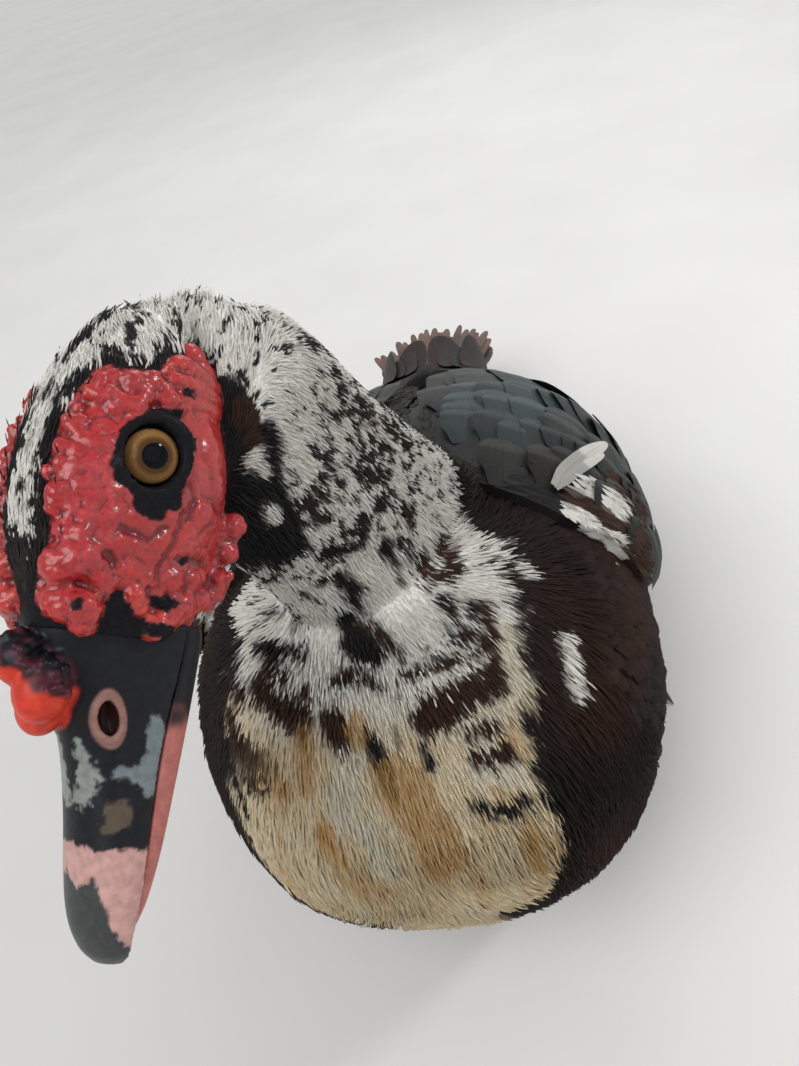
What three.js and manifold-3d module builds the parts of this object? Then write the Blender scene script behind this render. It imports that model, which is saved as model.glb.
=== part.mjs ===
// A life-size muscovy drake, sitting on its belly with the breast raised, the neck drawn up in a curve and
// the head turned a little to its right and tipped down. Millimetres, +Z up, the beak towards -Y, the bird's
// left side towards +X. The floor is z = 0. Each sub-part is one closed solid and keeps a gap of 0.3 mm to
// its neighbours.
import * as THREE from "three";
import { mergeVertices } from "three/addons/utils/BufferGeometryUtils.js";
import Module from "manifold-3d";

const wasm = await Module();
wasm.setup();

// Driving sizes
const GAP = 0.3; // between two nodes that touch
const FLOOR = 0;
const SMOOTHING = 0.15; // slivers thinner than this, left where feathers or bulbs cross, are closed up

// The torso from the breast to the root of the tail: place along the back (y), height of the widest line,
// half width, rise to the back, drop to the belly.
const TORSO = [
  [-176, 118, 0, 0, 0],
  [-167, 115, 48, 44, 42],
  [-140, 108, 77, 78, 74],
  [-98, 101, 96, 98, 96],
  [-50, 94, 101, 96, 98],
  [0, 88, 100, 89, 93],
  [50, 82, 97, 77, 86],
  [100, 74, 88, 60, 76],
  [145, 68, 71, 44, 56],
  [180, 64, 51, 31, 36],
  [205, 62, 34, 21, 21],
];
// The line that the folded wings and the tail follow past the torso's end.
const PAST_TORSO = [
  [245, 63, 31, 20, 18],
  [285, 65, 28, 19, 17],
  [330, 67, 26, 18, 16],
];
const TORSO_SQUARE = 2.3; // 2 is an ellipse, and more is squarer
const TORSO_RINGS = 20;
const TORSO_SIDES = 28;
const TORSO_START = 0.035; // the first ring's place, as a share of the whole
const TORSO_CROWD = 0.72; // below 1, the rings stand closer together towards the breast

// The neck from deep in the shoulders to inside the head: x, y, z and radius.
const NECK = [
  [-3, -52, 120, 62],
  [-4, -60, 152, 57],
  [-7, -70, 184, 48],
  [-11, -82, 214, 41],
  [-17, -94, 244, 37],
  [-24, -105, 274, 34.5],
  [-30, -115, 293, 27],
];
const NECK_RINGS = 13;
const NECK_SIDES = 20;

// The head's own frame: its origin lies midway between the eyes, x forward along the beak, y to the bird's
// left, z up.
const HEAD_AT = [-38.7, -140.9, 289.9];
const HEAD_FORWARD = [-0.24, -0.798, -0.553];
const HEAD_UP = [-0.377, -0.448, 0.811];

// The skull and cheeks: forward, half width, rise above the eye line, drop below it.
const SKULL = [
  [-39, 0, 0, 0],
  [-32, 14, 15, 12],
  [-20, 19, 21, 22],
  [-6, 21.5, 22.5, 29],
  [8, 21.5, 22.5, 31],
  [22, 20, 20.5, 31],
  [34, 17.5, 17, 29.5],
  [44, 15.5, 13, 27],
];
const SKULL_MIDDLE = -3; // height of the skull's widest line
const SKULL_SQUARE = 2.2;
const SKULL_RINGS = 12;
const SKULL_SIDES = 18;
const SKULL_START = 0.12; // the first ring's place
const EYE = { forward: 0, up: 0, out: 13.5, radius: 8.5 };
const LID = { radius: 7.4, thick: 1.5, out: 19.9, long: 1.1 };
const NECK_CUT = 5.15; // place along the neck where it ends and the head begins

// Bare red skin round the eye, on each side: rows of bulbs from one place to another, each place given as
// forward and the angle up from the side in degrees, and single folds given as forward, angle and half sizes
// along, across and out.
const CARUNCLE_ROWS = [
  { from: [-20, 42], to: [20, 40], count: 6, size: [5.2, 6], press: 0.75 },
  { from: [-14, 62], to: [8, 60], count: 3, size: [4.6, 4.6], press: 0.65 },
  { from: [-17, -42], to: [35, -46], count: 6, size: [6.2, 7], press: 0.8 },
  { from: [12, -16], to: [33, -22], count: 3, size: [7, 7.4], press: 0.65 },
  { from: [25, 54], to: [40, 52], count: 3, size: [6.4, 7], press: 0.7 },
  { from: [40, 30], to: [41, -42], count: 4, size: [6.6, 6.2], press: 0.7 },
];
const CARUNCLE_FOLDS = [
  { at: [-19, 18], size: [5, 9, 5.5] },
  { at: [-21, -10], size: [5.5, 9, 6] },
  { at: [-16, -30], size: [6, 8, 5.5] },
  { at: [31, 26], size: [9, 8, 6.5] },
];
const BULB_FACES = [6, 4]; // round and from pole to pole
const BULB_LIFT = 0.15; // of a bulb's middle off the skin, as a share of its size
const FOLD_LIFT = 0.1;
const BULB_SPREAD = { size: 0.14, forward: 1, angle: 2.5, wide: [0.85, 1.1] }; // how bulbs differ

// The crest on the crown: rows of loose feathers, each given by its place, length and spread in degrees.
const CREST_ROWS = [
  { forward: 6, count: 3, length: 12, spread: 20 },
  { forward: -4, count: 4, length: 13, spread: 34 },
  { forward: -13, count: 4, length: 14, spread: 40 },
  { forward: -21, count: 4, length: 14, spread: 42 },
];
const CREST = { width: 7, thick: 0.9, sink: 1.5, raise: [0.28, 0.42], bend: 0.3, steps: 4 };
const CREST_SPREAD = { angle: 4, forward: 1.5, length: 0.15 };

// The upper beak, from the face to the nail: forward, half width, top, cutting edge.
const UPPER_BEAK = [
  [44.3, 14.6, 12, -19],
  [52, 13.8, 8, -19],
  [60, 13, 3.5, -18.6],
  [72, 12.4, -2, -18.4],
  [86, 12.6, -6.5, -18.6],
  [100, 12.6, -10, -19.2],
  [110, 10.6, -12.5, -20.4],
  [116, 7.5, -15.5, -22.5],
  [119, 4, -19, -24],
];
// The lower beak: forward, half width, cutting edge, underside.
const LOWER_BEAK = [
  [44.3, 13.6, -19.6, -30],
  [60, 12.8, -19.2, -29.2],
  [76, 12, -19, -27.6],
  [92, 11.6, -19.2, -26],
  [104, 10, -20, -24.8],
  [111, 6.5, -21.2, -24.4],
];
const BEAK_RINGS = 10;
const BEAK_ARC = 10;
const BEAK_DOME = 0.8; // below 1 the beak's section is fuller than half an ellipse
const KNOB = [
  [[56, 1, 9], [8.5, 7, 6.5]],
  [[50, -3, 12], [6.5, 6, 6]],
  [[62.5, -1, 5], [5.5, 5.5, 4.5]],
];
const NOSTRIL = { at: [60, 10.6, -3.5], size: [4.6, 2.6, 2.3], tilt: 0.35 };

// The folded wing's arm over the torso: place, lower and upper edge in degrees up from the side, rise off
// the body.
const WING = [
  [3.7, 26, 52, 4],
  [4.1, 8, 74, 8],
  [4.7, -4, 86, 9.5],
  [5.4, -8, 89.2, 10],
  [6.3, -6, 89.4, 9.5],
  [7.2, 4, 89.2, 8],
  [8.1, 20, 87, 6],
  [8.8, 38, 78, 4],
];
const WING_RINGS = 11;
const WING_ACROSS = 8;
const WING_RIM = 3; // thickness at the arm's edges
const WING_SINK = 4; // depth into the torso before it is cut clear
const FEATHER_SINK = 2.2;
const FEATHER_ROLL = 0.1;
const FEATHER_RISE = 1.4; // the higher, the nearer to its root a feather has its full rise
const FEATHER_SPREAD = { place: 0.06, length: 0.05, heading: 2 };
// A feather's outline: share of the width at its root, how fast it widens, where its end begins to round
// off, the share of its thickness at the tip, how far its edges bend down, and the share of the width at the
// tip where a tier gives none.
const BLADE = { root: 0.55, widen: 2, round: 0.6, thin: 0.6, camber: 0.12, tip: 0.32 };
// Tiers of feathers from back to front. Each runs from one place and angle to another.
const WING_TIERS = [
  { name: "primaries", from: [7.0, 28], to: [7.3, 50], count: 4, length: [138, 155], heading: [9, 2],
    width: 28, thick: 1.3, rise: 2, least: 7, steps: 5, tip: 0.3 },
  { name: "secondaries", from: [5.7, -4], to: [6.5, 38], count: 6, length: [78, 102], heading: [22, 8],
    width: 34, thick: 1.2, rise: 2.4, least: 4, steps: 5, tip: 0.5 },
  { name: "tertials", from: [6.1, 46], to: [6.3, 78], count: 4, length: [108, 92], heading: [3, -1],
    width: 34, thick: 1.3, rise: 4, least: 7, steps: 5, tip: 0.45 },
  { name: "greater coverts", from: [4.9, -3], to: [5.5, 76], count: 6, length: [54, 60], heading: [14, 0],
    width: 35, thick: 1.1, rise: 2.6, steps: 4, tip: 0.5 },
  { name: "median coverts", from: [4.25, 2], to: [4.7, 74], count: 5, length: [38, 44], heading: [10, 0],
    width: 34, thick: 1.1, rise: 2.8, steps: 4, tip: 0.5 },
  { name: "lesser coverts", from: [3.8, 24], to: [4.0, 62], count: 3, length: [32, 36], heading: [6, 0],
    width: 30, thick: 1.1, rise: 2.8, steps: 4, tip: 0.5 },
];

// The tail: a core behind the torso (distance back, share of the torso's last section, height) and its
// feathers.
const TAIL_CORE = [
  [0, 1, 0],
  [16, 0.9, 1],
  [34, 0.72, 2],
  [50, 0.4, 3],
];
const TAIL_SIDES = 20;
const TAIL_STACK = 0.55; // each feather outwards lies this much lower
const TAIL_FAN = { shorten: 0.12, sag: 3, roll: 0.14, flat: 3 }; // towards the outer feathers
const TAIL_TIERS = [
  { count: 12, spread: 20, length: 98, width: 30, thick: 1.3, rootY: 222, rootX: 15, z: 64, droop: -5,
    steps: 5 },
  { count: 4, spread: 15, length: 58, width: 27, thick: 1.2, rootY: 214, rootX: 13, z: 75, droop: -9,
    steps: 4 },
  { count: 4, spread: 15, length: 62, width: 27, thick: 1.2, rootY: 214, rootX: 13, z: 53, droop: 6,
    steps: 4 },
];

const THIGH = { at: [81, 72, 32], size: [24, 42, 22], turn: [0.1, 0, -0.12] };
// The foot: the ball of the foot, the shank and the hind toe as x, y, z, half width and half height.
const FOOT = {
  ball: [73, 36, 6],
  tarsus: [[81, 98, 16, 7, 7], [79, 87, 11, 6.4, 6.4], [76, 62, 7.4, 5.6, 5.8], [73, 36, 6.4, 6.6, 6]],
  hallux: [[68, 42, 5, 3, 3], [61, 48, 3.4, 2.6, 2.6], [57, 53, 2.2, 1.4, 1.6]],
};
const TOES = [
  { name: "inner", heading: -16, length: 58, radius: 4.6 },
  { name: "middle", heading: 6, length: 74, radius: 5 },
  { name: "outer", heading: 28, length: 66, radius: 4.6 },
];
const TOE_JOINTS = [[0, 1.05], [0.32, 0.98], [0.5, 0.8], [0.66, 0.95], [1, 0.7]];
const TOE_THIN = 0.72; // thickness at a toe's end, as a share of that at its root
const TOE_SINK = 0.8; // height of a toe's middle, as a share of its radius
const WEB = { thick: 2, dip: 0.3, root: 6, short: 4 };
const CLAW = { length: 11, radius: 2.4, height: 2.8, point: 0.4, steps: 4 };

// Small helpers
function seeded(seed) {
  let state = seed;
  return () => {
    state = (state * 1664525 + 1013904223) % 4294967296;
    return state / 4294967296;
  };
}
const vec = (x, y, z) => new THREE.Vector3(x, y, z);
const mix = (a, b, s) => a + (b - a) * s;
const radians = THREE.MathUtils.degToRad;

// Reads a table of stations as smooth curves, where place runs from 0 at the first row to the last row's
// number.
function along(stations) {
  const last = stations.length - 1;
  const row = (k) => stations[Math.min(Math.max(k, 0), last)];
  return (place) => {
    const at = Math.min(Math.max(place, 0), last);
    const i = Math.min(Math.floor(at), last - 1);
    const s = at - i;
    return row(i).map((p1, c) => {
      const p0 = row(i - 1)[c];
      const p2 = row(i + 1)[c];
      const p3 = row(i + 2)[c];
      const bend = (2 * p0 - 5 * p1 + 4 * p2 - p3) * s + (3 * p1 - p0 - 3 * p2 + p3) * s * s;
      return p1 + 0.5 * s * (p2 - p0 + bend);
    });
  };
}

// The row of a smooth table whose first column has a given value.
function rowWhere(stations, value) {
  const read = along(stations);
  let low = 0;
  let high = stations.length - 1;
  while (high - low > 1e-4) {
    const middle = (low + high) / 2;
    if (read(middle)[0] < value) low = middle;
    else high = middle;
  }
  return read(high);
}

// A closed skin over rings of points, each end closed to a middle point or to a given tip.
function loft(rings, firstTip, lastTip) {
  const sides = rings[0].length;
  const points = rings.flat();
  const faces = [];
  for (let r = 0; r + 1 < rings.length; r++)
    for (let k = 0; k < sides; k++) {
      const a = r * sides + k;
      const b = r * sides + ((k + 1) % sides);
      faces.push(a, b, a + sides, b, b + sides, a + sides);
    }
  const middleOf = (ring) => ring.reduce((sum, p) => sum.add(p), vec(0, 0, 0)).divideScalar(sides);
  const lastRing = (rings.length - 1) * sides;
  points.push(firstTip ?? middleOf(rings[0]), lastTip ?? middleOf(rings[rings.length - 1]));
  for (let k = 0; k < sides; k++) {
    const next = (k + 1) % sides;
    faces.push(next, k, points.length - 2);
    faces.push(lastRing + k, lastRing + next, points.length - 1);
  }
  return closedSkin(points, faces);
}

// A geometry as a manifold-3d solid, for joining and cutting.
function solid(geometry) {
  const bare = new THREE.BufferGeometry().setAttribute("position", geometry.getAttribute("position"));
  if (geometry.index) bare.setIndex(geometry.index);
  const merged = mergeVertices(bare, 1e-4);
  return new wasm.Manifold(
    new wasm.Mesh({
      numProp: 3,
      vertProperties: merged.attributes.position.array,
      triVerts: new Uint32Array(merged.index.array),
    }),
  );
}

// The largest closed surface of a solid.
function largest(body) {
  return body.decompose().reduce((best, piece) => (piece.volume() > best.volume() ? piece : best));
}

const fuse = (solids) => largest(wasm.Manifold.union(solids));

function geometryOf(body) {
  const mesh = body.getMesh();
  return new THREE.BufferGeometry()
    .setAttribute("position", new THREE.BufferAttribute(new Float32Array(mesh.vertProperties), 3))
    .setIndex(new THREE.BufferAttribute(new Uint32Array(mesh.triVerts), 1));
}

function ball(at, size, turn = [0, 0, 0], detail = 1) {
  const geometry = new THREE.IcosahedronGeometry(1, detail).scale(...size);
  geometry.rotateX(turn[0]).rotateY(turn[1]).rotateZ(turn[2]);
  return geometry.translate(...at);
}

// A superellipse ring in the plane of two unit vectors, with its own rise and drop.
function ring(middle, across, up, half, rise, drop, sides, square = 2) {
  const power = 2 / square;
  return Array.from({ length: sides }, (_, k) => {
    const angle = (2 * Math.PI * k) / sides;
    const c = Math.cos(angle);
    const s = Math.sin(angle);
    const x = Math.sign(c) * Math.abs(c) ** power * half;
    const z = Math.sign(s) * Math.abs(s) ** power * (s > 0 ? rise : drop);
    return middle.clone().addScaledVector(across, x).addScaledVector(up, z);
  });
}

// A closed skin from its points and triangles, turned so that it faces outwards.
function closedSkin(points, faces) {
  let volume = 0;
  for (let i = 0; i < faces.length; i += 3)
    volume += points[faces[i]].dot(points[faces[i + 1]].clone().cross(points[faces[i + 2]]));
  if (volume < 0) faces.reverse();
  return new THREE.BufferGeometry().setFromPoints(points).setIndex(faces);
}

// A feather: a thin blade over a path of steps, each with its point, the way the blade faces and the way
// across it. The outline is narrow at the root, full in the middle and round at the tip.
function blade(path, width, thick, tip = BLADE.tip) {
  const points = [];
  for (const face of [1, -1])
    path.forEach(({ point, facing, side }, i) => {
      const s = i / (path.length - 1);
      const past = Math.max(0, (s - BLADE.round) / (1 - BLADE.round));
      const close = Math.sqrt(Math.max(0, 1 - past ** 2));
      const half = 0.5 * width * Math.min(1, BLADE.root + BLADE.widen * s) * mix(tip, 1, close);
      const above = 0.5 * face * thick * mix(1, BLADE.thin, s) - BLADE.camber * half;
      for (const edge of [-half, half])
        points.push(point.clone().addScaledVector(side, edge).addScaledVector(facing, above));
    });
  const below = 2 * path.length;
  const faces = [];
  for (let a = 0; a + 2 < below; a += 2) {
    faces.push(a, a + 1, a + 2, a + 1, a + 3, a + 2);
    faces.push(below + a + 1, below + a, below + a + 2, below + a + 3, below + a + 1, below + a + 2);
  }
  const leftEdge = path.map((_, i) => 2 * i);
  const rim = [...leftEdge.map((k) => k + 1), ...leftEdge.toReversed()];
  rim.forEach((p, i) => {
    const q = rim[(i + 1) % rim.length];
    faces.push(q, p, below + p, q, below + p, below + q);
  });
  return closedSkin(points, faces);
}

// Torso
const bodyAt = along([...TORSO, ...PAST_TORSO]);

function torsoRing(place, grow) {
  const [y, height, half, rise, drop] = bodyAt(place);
  const round = ring(
    vec(0, y, height), vec(1, 0, 0), vec(0, 0, 1),
    half + grow, rise + grow, drop + grow, TORSO_SIDES, TORSO_SQUARE,
  );
  for (const p of round) p.z = Math.max(p.z, FLOOR - grow);
  return round;
}

function torsoGeometry(grow = 0) {
  const last = TORSO.length - 1;
  const rings = [];
  for (let k = 0; k <= TORSO_RINGS; k++) {
    const s = k / TORSO_RINGS;
    rings.push(torsoRing(last * mix(TORSO_START, 1, s * mix(TORSO_CROWD, 1, s)), grow));
  }
  const [front, height] = TORSO[0];
  const [back, tailHeight] = TORSO[last];
  for (const p of rings[rings.length - 1]) p.y += grow;
  return loft(rings, vec(0, front - grow, height), vec(0, back + grow, tailHeight));
}

// A point over the torso's skin: place along it, angle from the bird's left up to the back, lift above it.
function overTorso(place, angle, lift) {
  const power = 2 / TORSO_SQUARE;
  const at = (p, a) => {
    const [y, height, half, rise, drop] = bodyAt(p);
    const c = Math.cos(a);
    const s = Math.sin(a);
    const x = Math.sign(c) * Math.abs(c) ** power * half;
    return vec(x, y, height + Math.sign(s) * Math.abs(s) ** power * (s > 0 ? rise : drop));
  };
  const step = 0.02;
  const point = at(place, angle);
  const back = at(place + step, angle).sub(at(place - step, angle)).divideScalar(2 * step);
  const round = at(place, angle + step).sub(at(place, angle - step)).divideScalar(2 * step);
  const out = back.clone().cross(round).normalize();
  if (out.x < 0) out.negate();
  return { point: point.addScaledVector(out, lift), out, back, round };
}

// A path over the torso's skin that starts at a place and angle and runs for a length towards a heading,
// where 0 is straight back and positive turns up towards the back. Its lift is read from the place, the angle
// and how far along it is, and it is rolled about its length so that feathers in a row lie over one another.
function skinPath(place, angle, length, heading, lift, steps, roll) {
  const path = [];
  const stride = length / (steps - 1);
  let p = place;
  let a = angle;
  for (let k = 0; k < steps; k++) {
    const here = overTorso(p, a, lift(p, a, k / (steps - 1)));
    const way = here.back.clone().normalize().multiplyScalar(Math.cos(heading));
    way.addScaledVector(here.round.clone().normalize(), Math.sin(heading)).normalize();
    const facing = here.out.clone().applyAxisAngle(way, roll);
    path.push({ point: here.point, facing, side: facing.clone().cross(way).normalize() });
    p += (stride * Math.cos(heading)) / here.back.length();
    a += (stride * Math.sin(heading)) / here.round.length();
  }
  return path;
}

// The torso as a solid, also grown by a margin to cut its neighbours clear.
const torso = solid(torsoGeometry());
const torsoGrown = solid(torsoGeometry(GAP));

// Neck
const neckAt = along(NECK);

function neckWay(place) {
  const [x, y, z] = neckAt(place - 0.05);
  const [x2, y2, z2] = neckAt(place + 0.05);
  return vec(x2 - x, y2 - y, z2 - z).normalize();
}

function neckGeometry(grow = 0) {
  const last = NECK.length - 1;
  const rings = [];
  for (let k = 0; k <= NECK_RINGS; k++) {
    const place = (last * k) / NECK_RINGS;
    const [x, y, z, radius] = neckAt(place);
    const way = neckWay(place);
    const across = vec(1, 0, 0).addScaledVector(way, -way.x).normalize();
    const wide = radius + grow;
    rings.push(ring(vec(x, y, z), across, way.clone().cross(across), wide, wide, wide, NECK_SIDES));
  }
  return loft(rings);
}

// Head
const headFrame = (() => {
  const forward = vec(...HEAD_FORWARD).normalize();
  const up = vec(...HEAD_UP);
  up.addScaledVector(forward, -up.dot(forward)).normalize();
  return new THREE.Matrix4().makeBasis(forward, up.clone().cross(forward), up).setPosition(...HEAD_AT);
})();
const inHead = (geometry) => solid(geometry.applyMatrix4(headFrame));
const skullAt = along(SKULL);

function skullGeometry() {
  const last = SKULL.length - 1;
  const rings = [];
  for (let k = 0; k <= SKULL_RINGS; k++) {
    const [x, half, rise, drop] = skullAt(mix(SKULL_START, last, k / SKULL_RINGS));
    const middle = vec(x, 0, SKULL_MIDDLE);
    const sides = [half, rise - SKULL_MIDDLE, drop + SKULL_MIDDLE];
    rings.push(ring(middle, vec(0, 1, 0), vec(0, 0, 1), ...sides, SKULL_SIDES, SKULL_SQUARE));
  }
  return loft(rings, vec(SKULL[0][0], 0, SKULL_MIDDLE));
}

// A point on the head's skin in its own frame, with the way out: angle from the left side up to the crown.
function onSkull(forward, angle, lift = 0) {
  const power = 2 / SKULL_SQUARE;
  const at = (x, a) => {
    const [, half, rise, drop] = rowWhere(SKULL, x);
    const c = Math.cos(a);
    const s = Math.sin(a);
    const y = Math.sign(c) * Math.abs(c) ** power * half;
    const reach = s > 0 ? rise - SKULL_MIDDLE : drop + SKULL_MIDDLE;
    return vec(x, y, SKULL_MIDDLE + Math.sign(s) * Math.abs(s) ** power * reach);
  };
  const point = at(forward, angle);
  const ahead = at(forward + 1, angle).sub(at(forward - 1, angle)).normalize();
  const round = at(forward, angle + 0.03).sub(at(forward, angle - 0.03)).normalize();
  const out = ahead.clone().cross(round).normalize();
  return { point: point.addScaledVector(out, lift), out, ahead, round };
}

// One bulb or fold of bare red skin: a ball pressed flat, long across or along the head.
function bulb(forward, angle, [long, wide, high], lift, side) {
  const { point, out, ahead, round } = onSkull(forward, radians(angle), lift);
  const geometry = new THREE.SphereGeometry(1, ...BULB_FACES).rotateX(Math.PI / 2).scale(long, wide, high);
  geometry.applyMatrix4(new THREE.Matrix4().makeBasis(ahead, round, out).setPosition(point));
  if (side < 0) mirror(geometry, 1);
  return inHead(geometry);
}

// Turns a geometry into its mirror image along one axis.
function mirror(geometry, axis) {
  geometry.scale(...[0, 1, 2].map((k) => (k === axis ? -1 : 1)));
  const index = geometry.index;
  const swap = (list, stride) => {
    for (let i = 0; i < list.length; i += 3 * stride)
      for (let c = 0; c < stride; c++)
        [list[i + stride + c], list[i + 2 * stride + c]] = [list[i + 2 * stride + c], list[i + stride + c]];
  };
  if (index) swap(index.array, 1);
  else swap(geometry.getAttribute("position").array, 3);
  return geometry;
}

function caruncles(side) {
  const random = seeded(side > 0 ? 11 : 29);
  const parts = [];
  for (const { from, to, count, size, press } of CARUNCLE_ROWS)
    for (let k = 0; k < count; k++) {
      const s = count > 1 ? k / (count - 1) : 0.5;
      const swell = mix(size[0], size[1], s) * (1 + BULB_SPREAD.size * mix(-1, 1, random()));
      const forward = mix(from[0], to[0], s) + BULB_SPREAD.forward * mix(-1, 1, random());
      const angle = mix(from[1], to[1], s) + BULB_SPREAD.angle * mix(-1, 1, random());
      const sizes = [swell, swell * mix(...BULB_SPREAD.wide, random()), swell * press];
      parts.push(bulb(forward, angle, sizes, BULB_LIFT * swell, side));
    }
  for (const { at, size } of CARUNCLE_FOLDS) parts.push(bulb(...at, size, FOLD_LIFT * size[2], side));
  return parts;
}

function lid(side) {
  const ringShape = new THREE.TorusGeometry(LID.radius, LID.thick, 6, 18).scale(LID.long, 1, 1);
  return inHead(ringShape.rotateX(Math.PI / 2).translate(EYE.forward, side * LID.out, EYE.up));
}

function eyeball(side, grow = 0) {
  const globe = ball([EYE.forward, side * EYE.out, EYE.up], Array(3).fill(EYE.radius + grow), [0, 0, 0], 2);
  return inHead(globe);
}

// The crest: loose pointed feathers in rows over the crown, lying back and a little raised.
function crest() {
  const random = seeded(7);
  const parts = [];
  for (const { forward, count, length, spread } of CREST_ROWS)
    for (let k = 0; k < count; k++) {
      const turn = mix(-spread, spread, k / (count - 1)) + CREST_SPREAD.angle * mix(-1, 1, random());
      const from = forward + CREST_SPREAD.forward * mix(-1, 1, random());
      const start = onSkull(from, radians(90 + turn), -CREST.sink);
      const reach = length * (1 + CREST_SPREAD.length * mix(-1, 1, random()));
      const raise = mix(...CREST.raise, random());
      const path = Array.from({ length: CREST.steps }, (_, i) => {
        const s = (i / (CREST.steps - 1)) * reach;
        const point = start.point.clone().addScaledVector(start.ahead, -s);
        point.addScaledVector(start.out, raise * s - (CREST.bend * s * s) / reach);
        return { point, facing: start.out, side: start.round };
      });
      parts.push(inHead(blade(path, CREST.width, CREST.thick)));
    }
  return parts;
}

// Beak
function domeRing(x, half, top, edge, grow) {
  const outwards = Math.sign(top - edge);
  const points = [];
  for (let k = 0; k <= BEAK_ARC; k++) {
    const angle = (Math.PI * k) / BEAK_ARC;
    const rise = (top - edge) * Math.sin(angle) ** BEAK_DOME + outwards * grow * (2 * Math.sin(angle) - 1);
    points.push(vec(x, (half + grow) * Math.cos(angle), edge + rise));
  }
  for (const across of [-0.5, 0, 0.5]) points.push(vec(x, across * half, edge - outwards * grow));
  return points;
}

function beakGeometry(stations, grow) {
  const read = along(stations);
  const last = stations.length - 1;
  const rings = [];
  for (let k = 0; k <= BEAK_RINGS; k++) {
    const [x, half, top, edge] = read((last * k) / BEAK_RINGS);
    rings.push(domeRing(x + (k === 0 ? -grow : k === BEAK_RINGS ? grow : 0), half, top, edge, grow));
  }
  return loft(rings);
}

function knob(grow) {
  return KNOB.map(([at, size]) => inHead(ball(at, size.map((s) => s + grow), [0, 0, 0], 1)));
}

const upperBeakShape = (grow = 0) => fuse([inHead(beakGeometry(UPPER_BEAK, grow)), ...knob(grow)]);
const lowerStations = LOWER_BEAK.map(([x, half, edge, under]) => [x, half, under, edge]);
const lowerBeakShape = (grow = 0) => inHead(beakGeometry(lowerStations, grow));

function nostril(side) {
  const [forward, out, up] = NOSTRIL.at;
  return inHead(ball([forward, side * out, up], NOSTRIL.size, [0, NOSTRIL.tilt, 0], 1));
}

// Flesh of the head and neck, parted by a thin cut square to the neck.
const cutAt = vec(...neckAt(NECK_CUT).slice(0, 3));
const cutWay = neckWay(NECK_CUT);
const cutOffset = cutAt.dot(cutWay);
const neckTube = solid(neckGeometry());
const neckGrown = solid(neckGeometry(GAP));
const neckBelow = neckTube.trimByPlane(cutWay.clone().negate().toArray(), GAP / 2 - cutOffset);
const neckAbove = neckTube.trimByPlane(cutWay.toArray(), cutOffset + GAP / 2);

const headFlesh = fuse([
  inHead(skullGeometry()),
  neckAbove,
  ...[1, -1].flatMap((side) => [...caruncles(side), lid(side)]),
  ...crest(),
])
  .asOriginal().simplify(SMOOTHING)
  .trimByPlane(cutWay.toArray(), cutOffset + GAP / 2)
  .subtract(eyeball(1, GAP))
  .subtract(eyeball(-1, GAP))
  .subtract(upperBeakShape(GAP))
  .subtract(lowerBeakShape(GAP));
const upperBeak = upperBeakShape().subtract(nostril(1)).subtract(nostril(-1));

// Wing
// How far the folded arm of the wing stands off the body at a place and angle, in degrees.
function wingRise(place, angle) {
  const [, low, high, rise] = rowWhere(WING, place);
  const s = (angle - low) / (high - low);
  return WING_RIM + (rise - WING_RIM) * Math.max(0, 1 - (2 * s - 1) ** 4);
}

function wingCore() {
  const wingTable = along(WING);
  const rings = [];
  for (let k = 0; k <= WING_RINGS; k++) {
    const [place, low, high] = wingTable(((WING.length - 1) * k) / WING_RINGS);
    const row = [];
    for (let c = 0; c <= WING_ACROSS; c++) {
      const angle = mix(low, high, c / WING_ACROSS);
      row.push(overTorso(place, radians(angle), wingRise(place, angle)).point);
    }
    for (let c = WING_ACROSS; c >= 0; c -= 2) {
      const angle = mix(low, high, c / WING_ACROSS);
      row.push(overTorso(place, radians(angle), -WING_SINK).point);
    }
    rings.push(row);
  }
  return loft(rings);
}

function wingFeathers() {
  const random = seeded(3);
  const parts = [];
  for (const tier of WING_TIERS)
    for (let k = 0; k < tier.count; k++) {
      const s = k / (tier.count - 1);
      const place = mix(tier.from[0], tier.to[0], s) + FEATHER_SPREAD.place * mix(-1, 1, random());
      const angle = mix(tier.from[1], tier.to[1], s);
      const length = mix(...tier.length, s) * (1 + FEATHER_SPREAD.length * mix(-1, 1, random()));
      const heading = radians(mix(...tier.heading, s) + FEATHER_SPREAD.heading * mix(-1, 1, random()));
      const lift = (p, a, t) => {
        const arm = Math.max(wingRise(p, THREE.MathUtils.radToDeg(a)), tier.least ?? 0);
        return arm - FEATHER_SINK + (FEATHER_SINK + tier.rise) * Math.min(1, t * FEATHER_RISE);
      };
      const path = skinPath(place, radians(angle), length, heading, lift, tier.steps, FEATHER_ROLL);
      parts.push(solid(blade(path, tier.width, tier.thick, tier.tip)));
    }
  return parts;
}

const wingWhole = fuse([solid(wingCore()), ...wingFeathers()]).asOriginal().simplify(SMOOTHING);
const wingLeft = wingWhole.trimByPlane([1, 0, 0], GAP / 2);

// Tail
function tailFeathers() {
  const parts = [];
  for (const { count, spread, length, width, thick, rootY, rootX, z, droop, steps } of TAIL_TIERS)
    for (let k = 0; k < count; k++) {
      const s = mix(-1, 1, k / (count - 1));
      const turn = radians(spread * s);
      const way = vec(Math.sin(turn), Math.cos(turn), 0);
      const reach = length * (1 - TAIL_FAN.shorten * s * s);
      const root = vec(rootX * s, rootY, z - TAIL_STACK * Math.abs(s) * (count / 2));
      const roll = TAIL_FAN.roll * Math.sign(s) * Math.min(1, TAIL_FAN.flat * Math.abs(s));
      const facing = vec(roll, 0, 1).normalize();
      const side = facing.clone().cross(way).normalize();
      const path = Array.from({ length: steps }, (_, i) => {
        const t = i / (steps - 1);
        const point = root.clone().addScaledVector(way, reach * t);
        point.z += droop * t * t - TAIL_FAN.sag * s * s * t;
        return { point, facing, side };
      });
      parts.push(solid(blade(path, width, thick)));
    }
  return parts;
}

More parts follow.
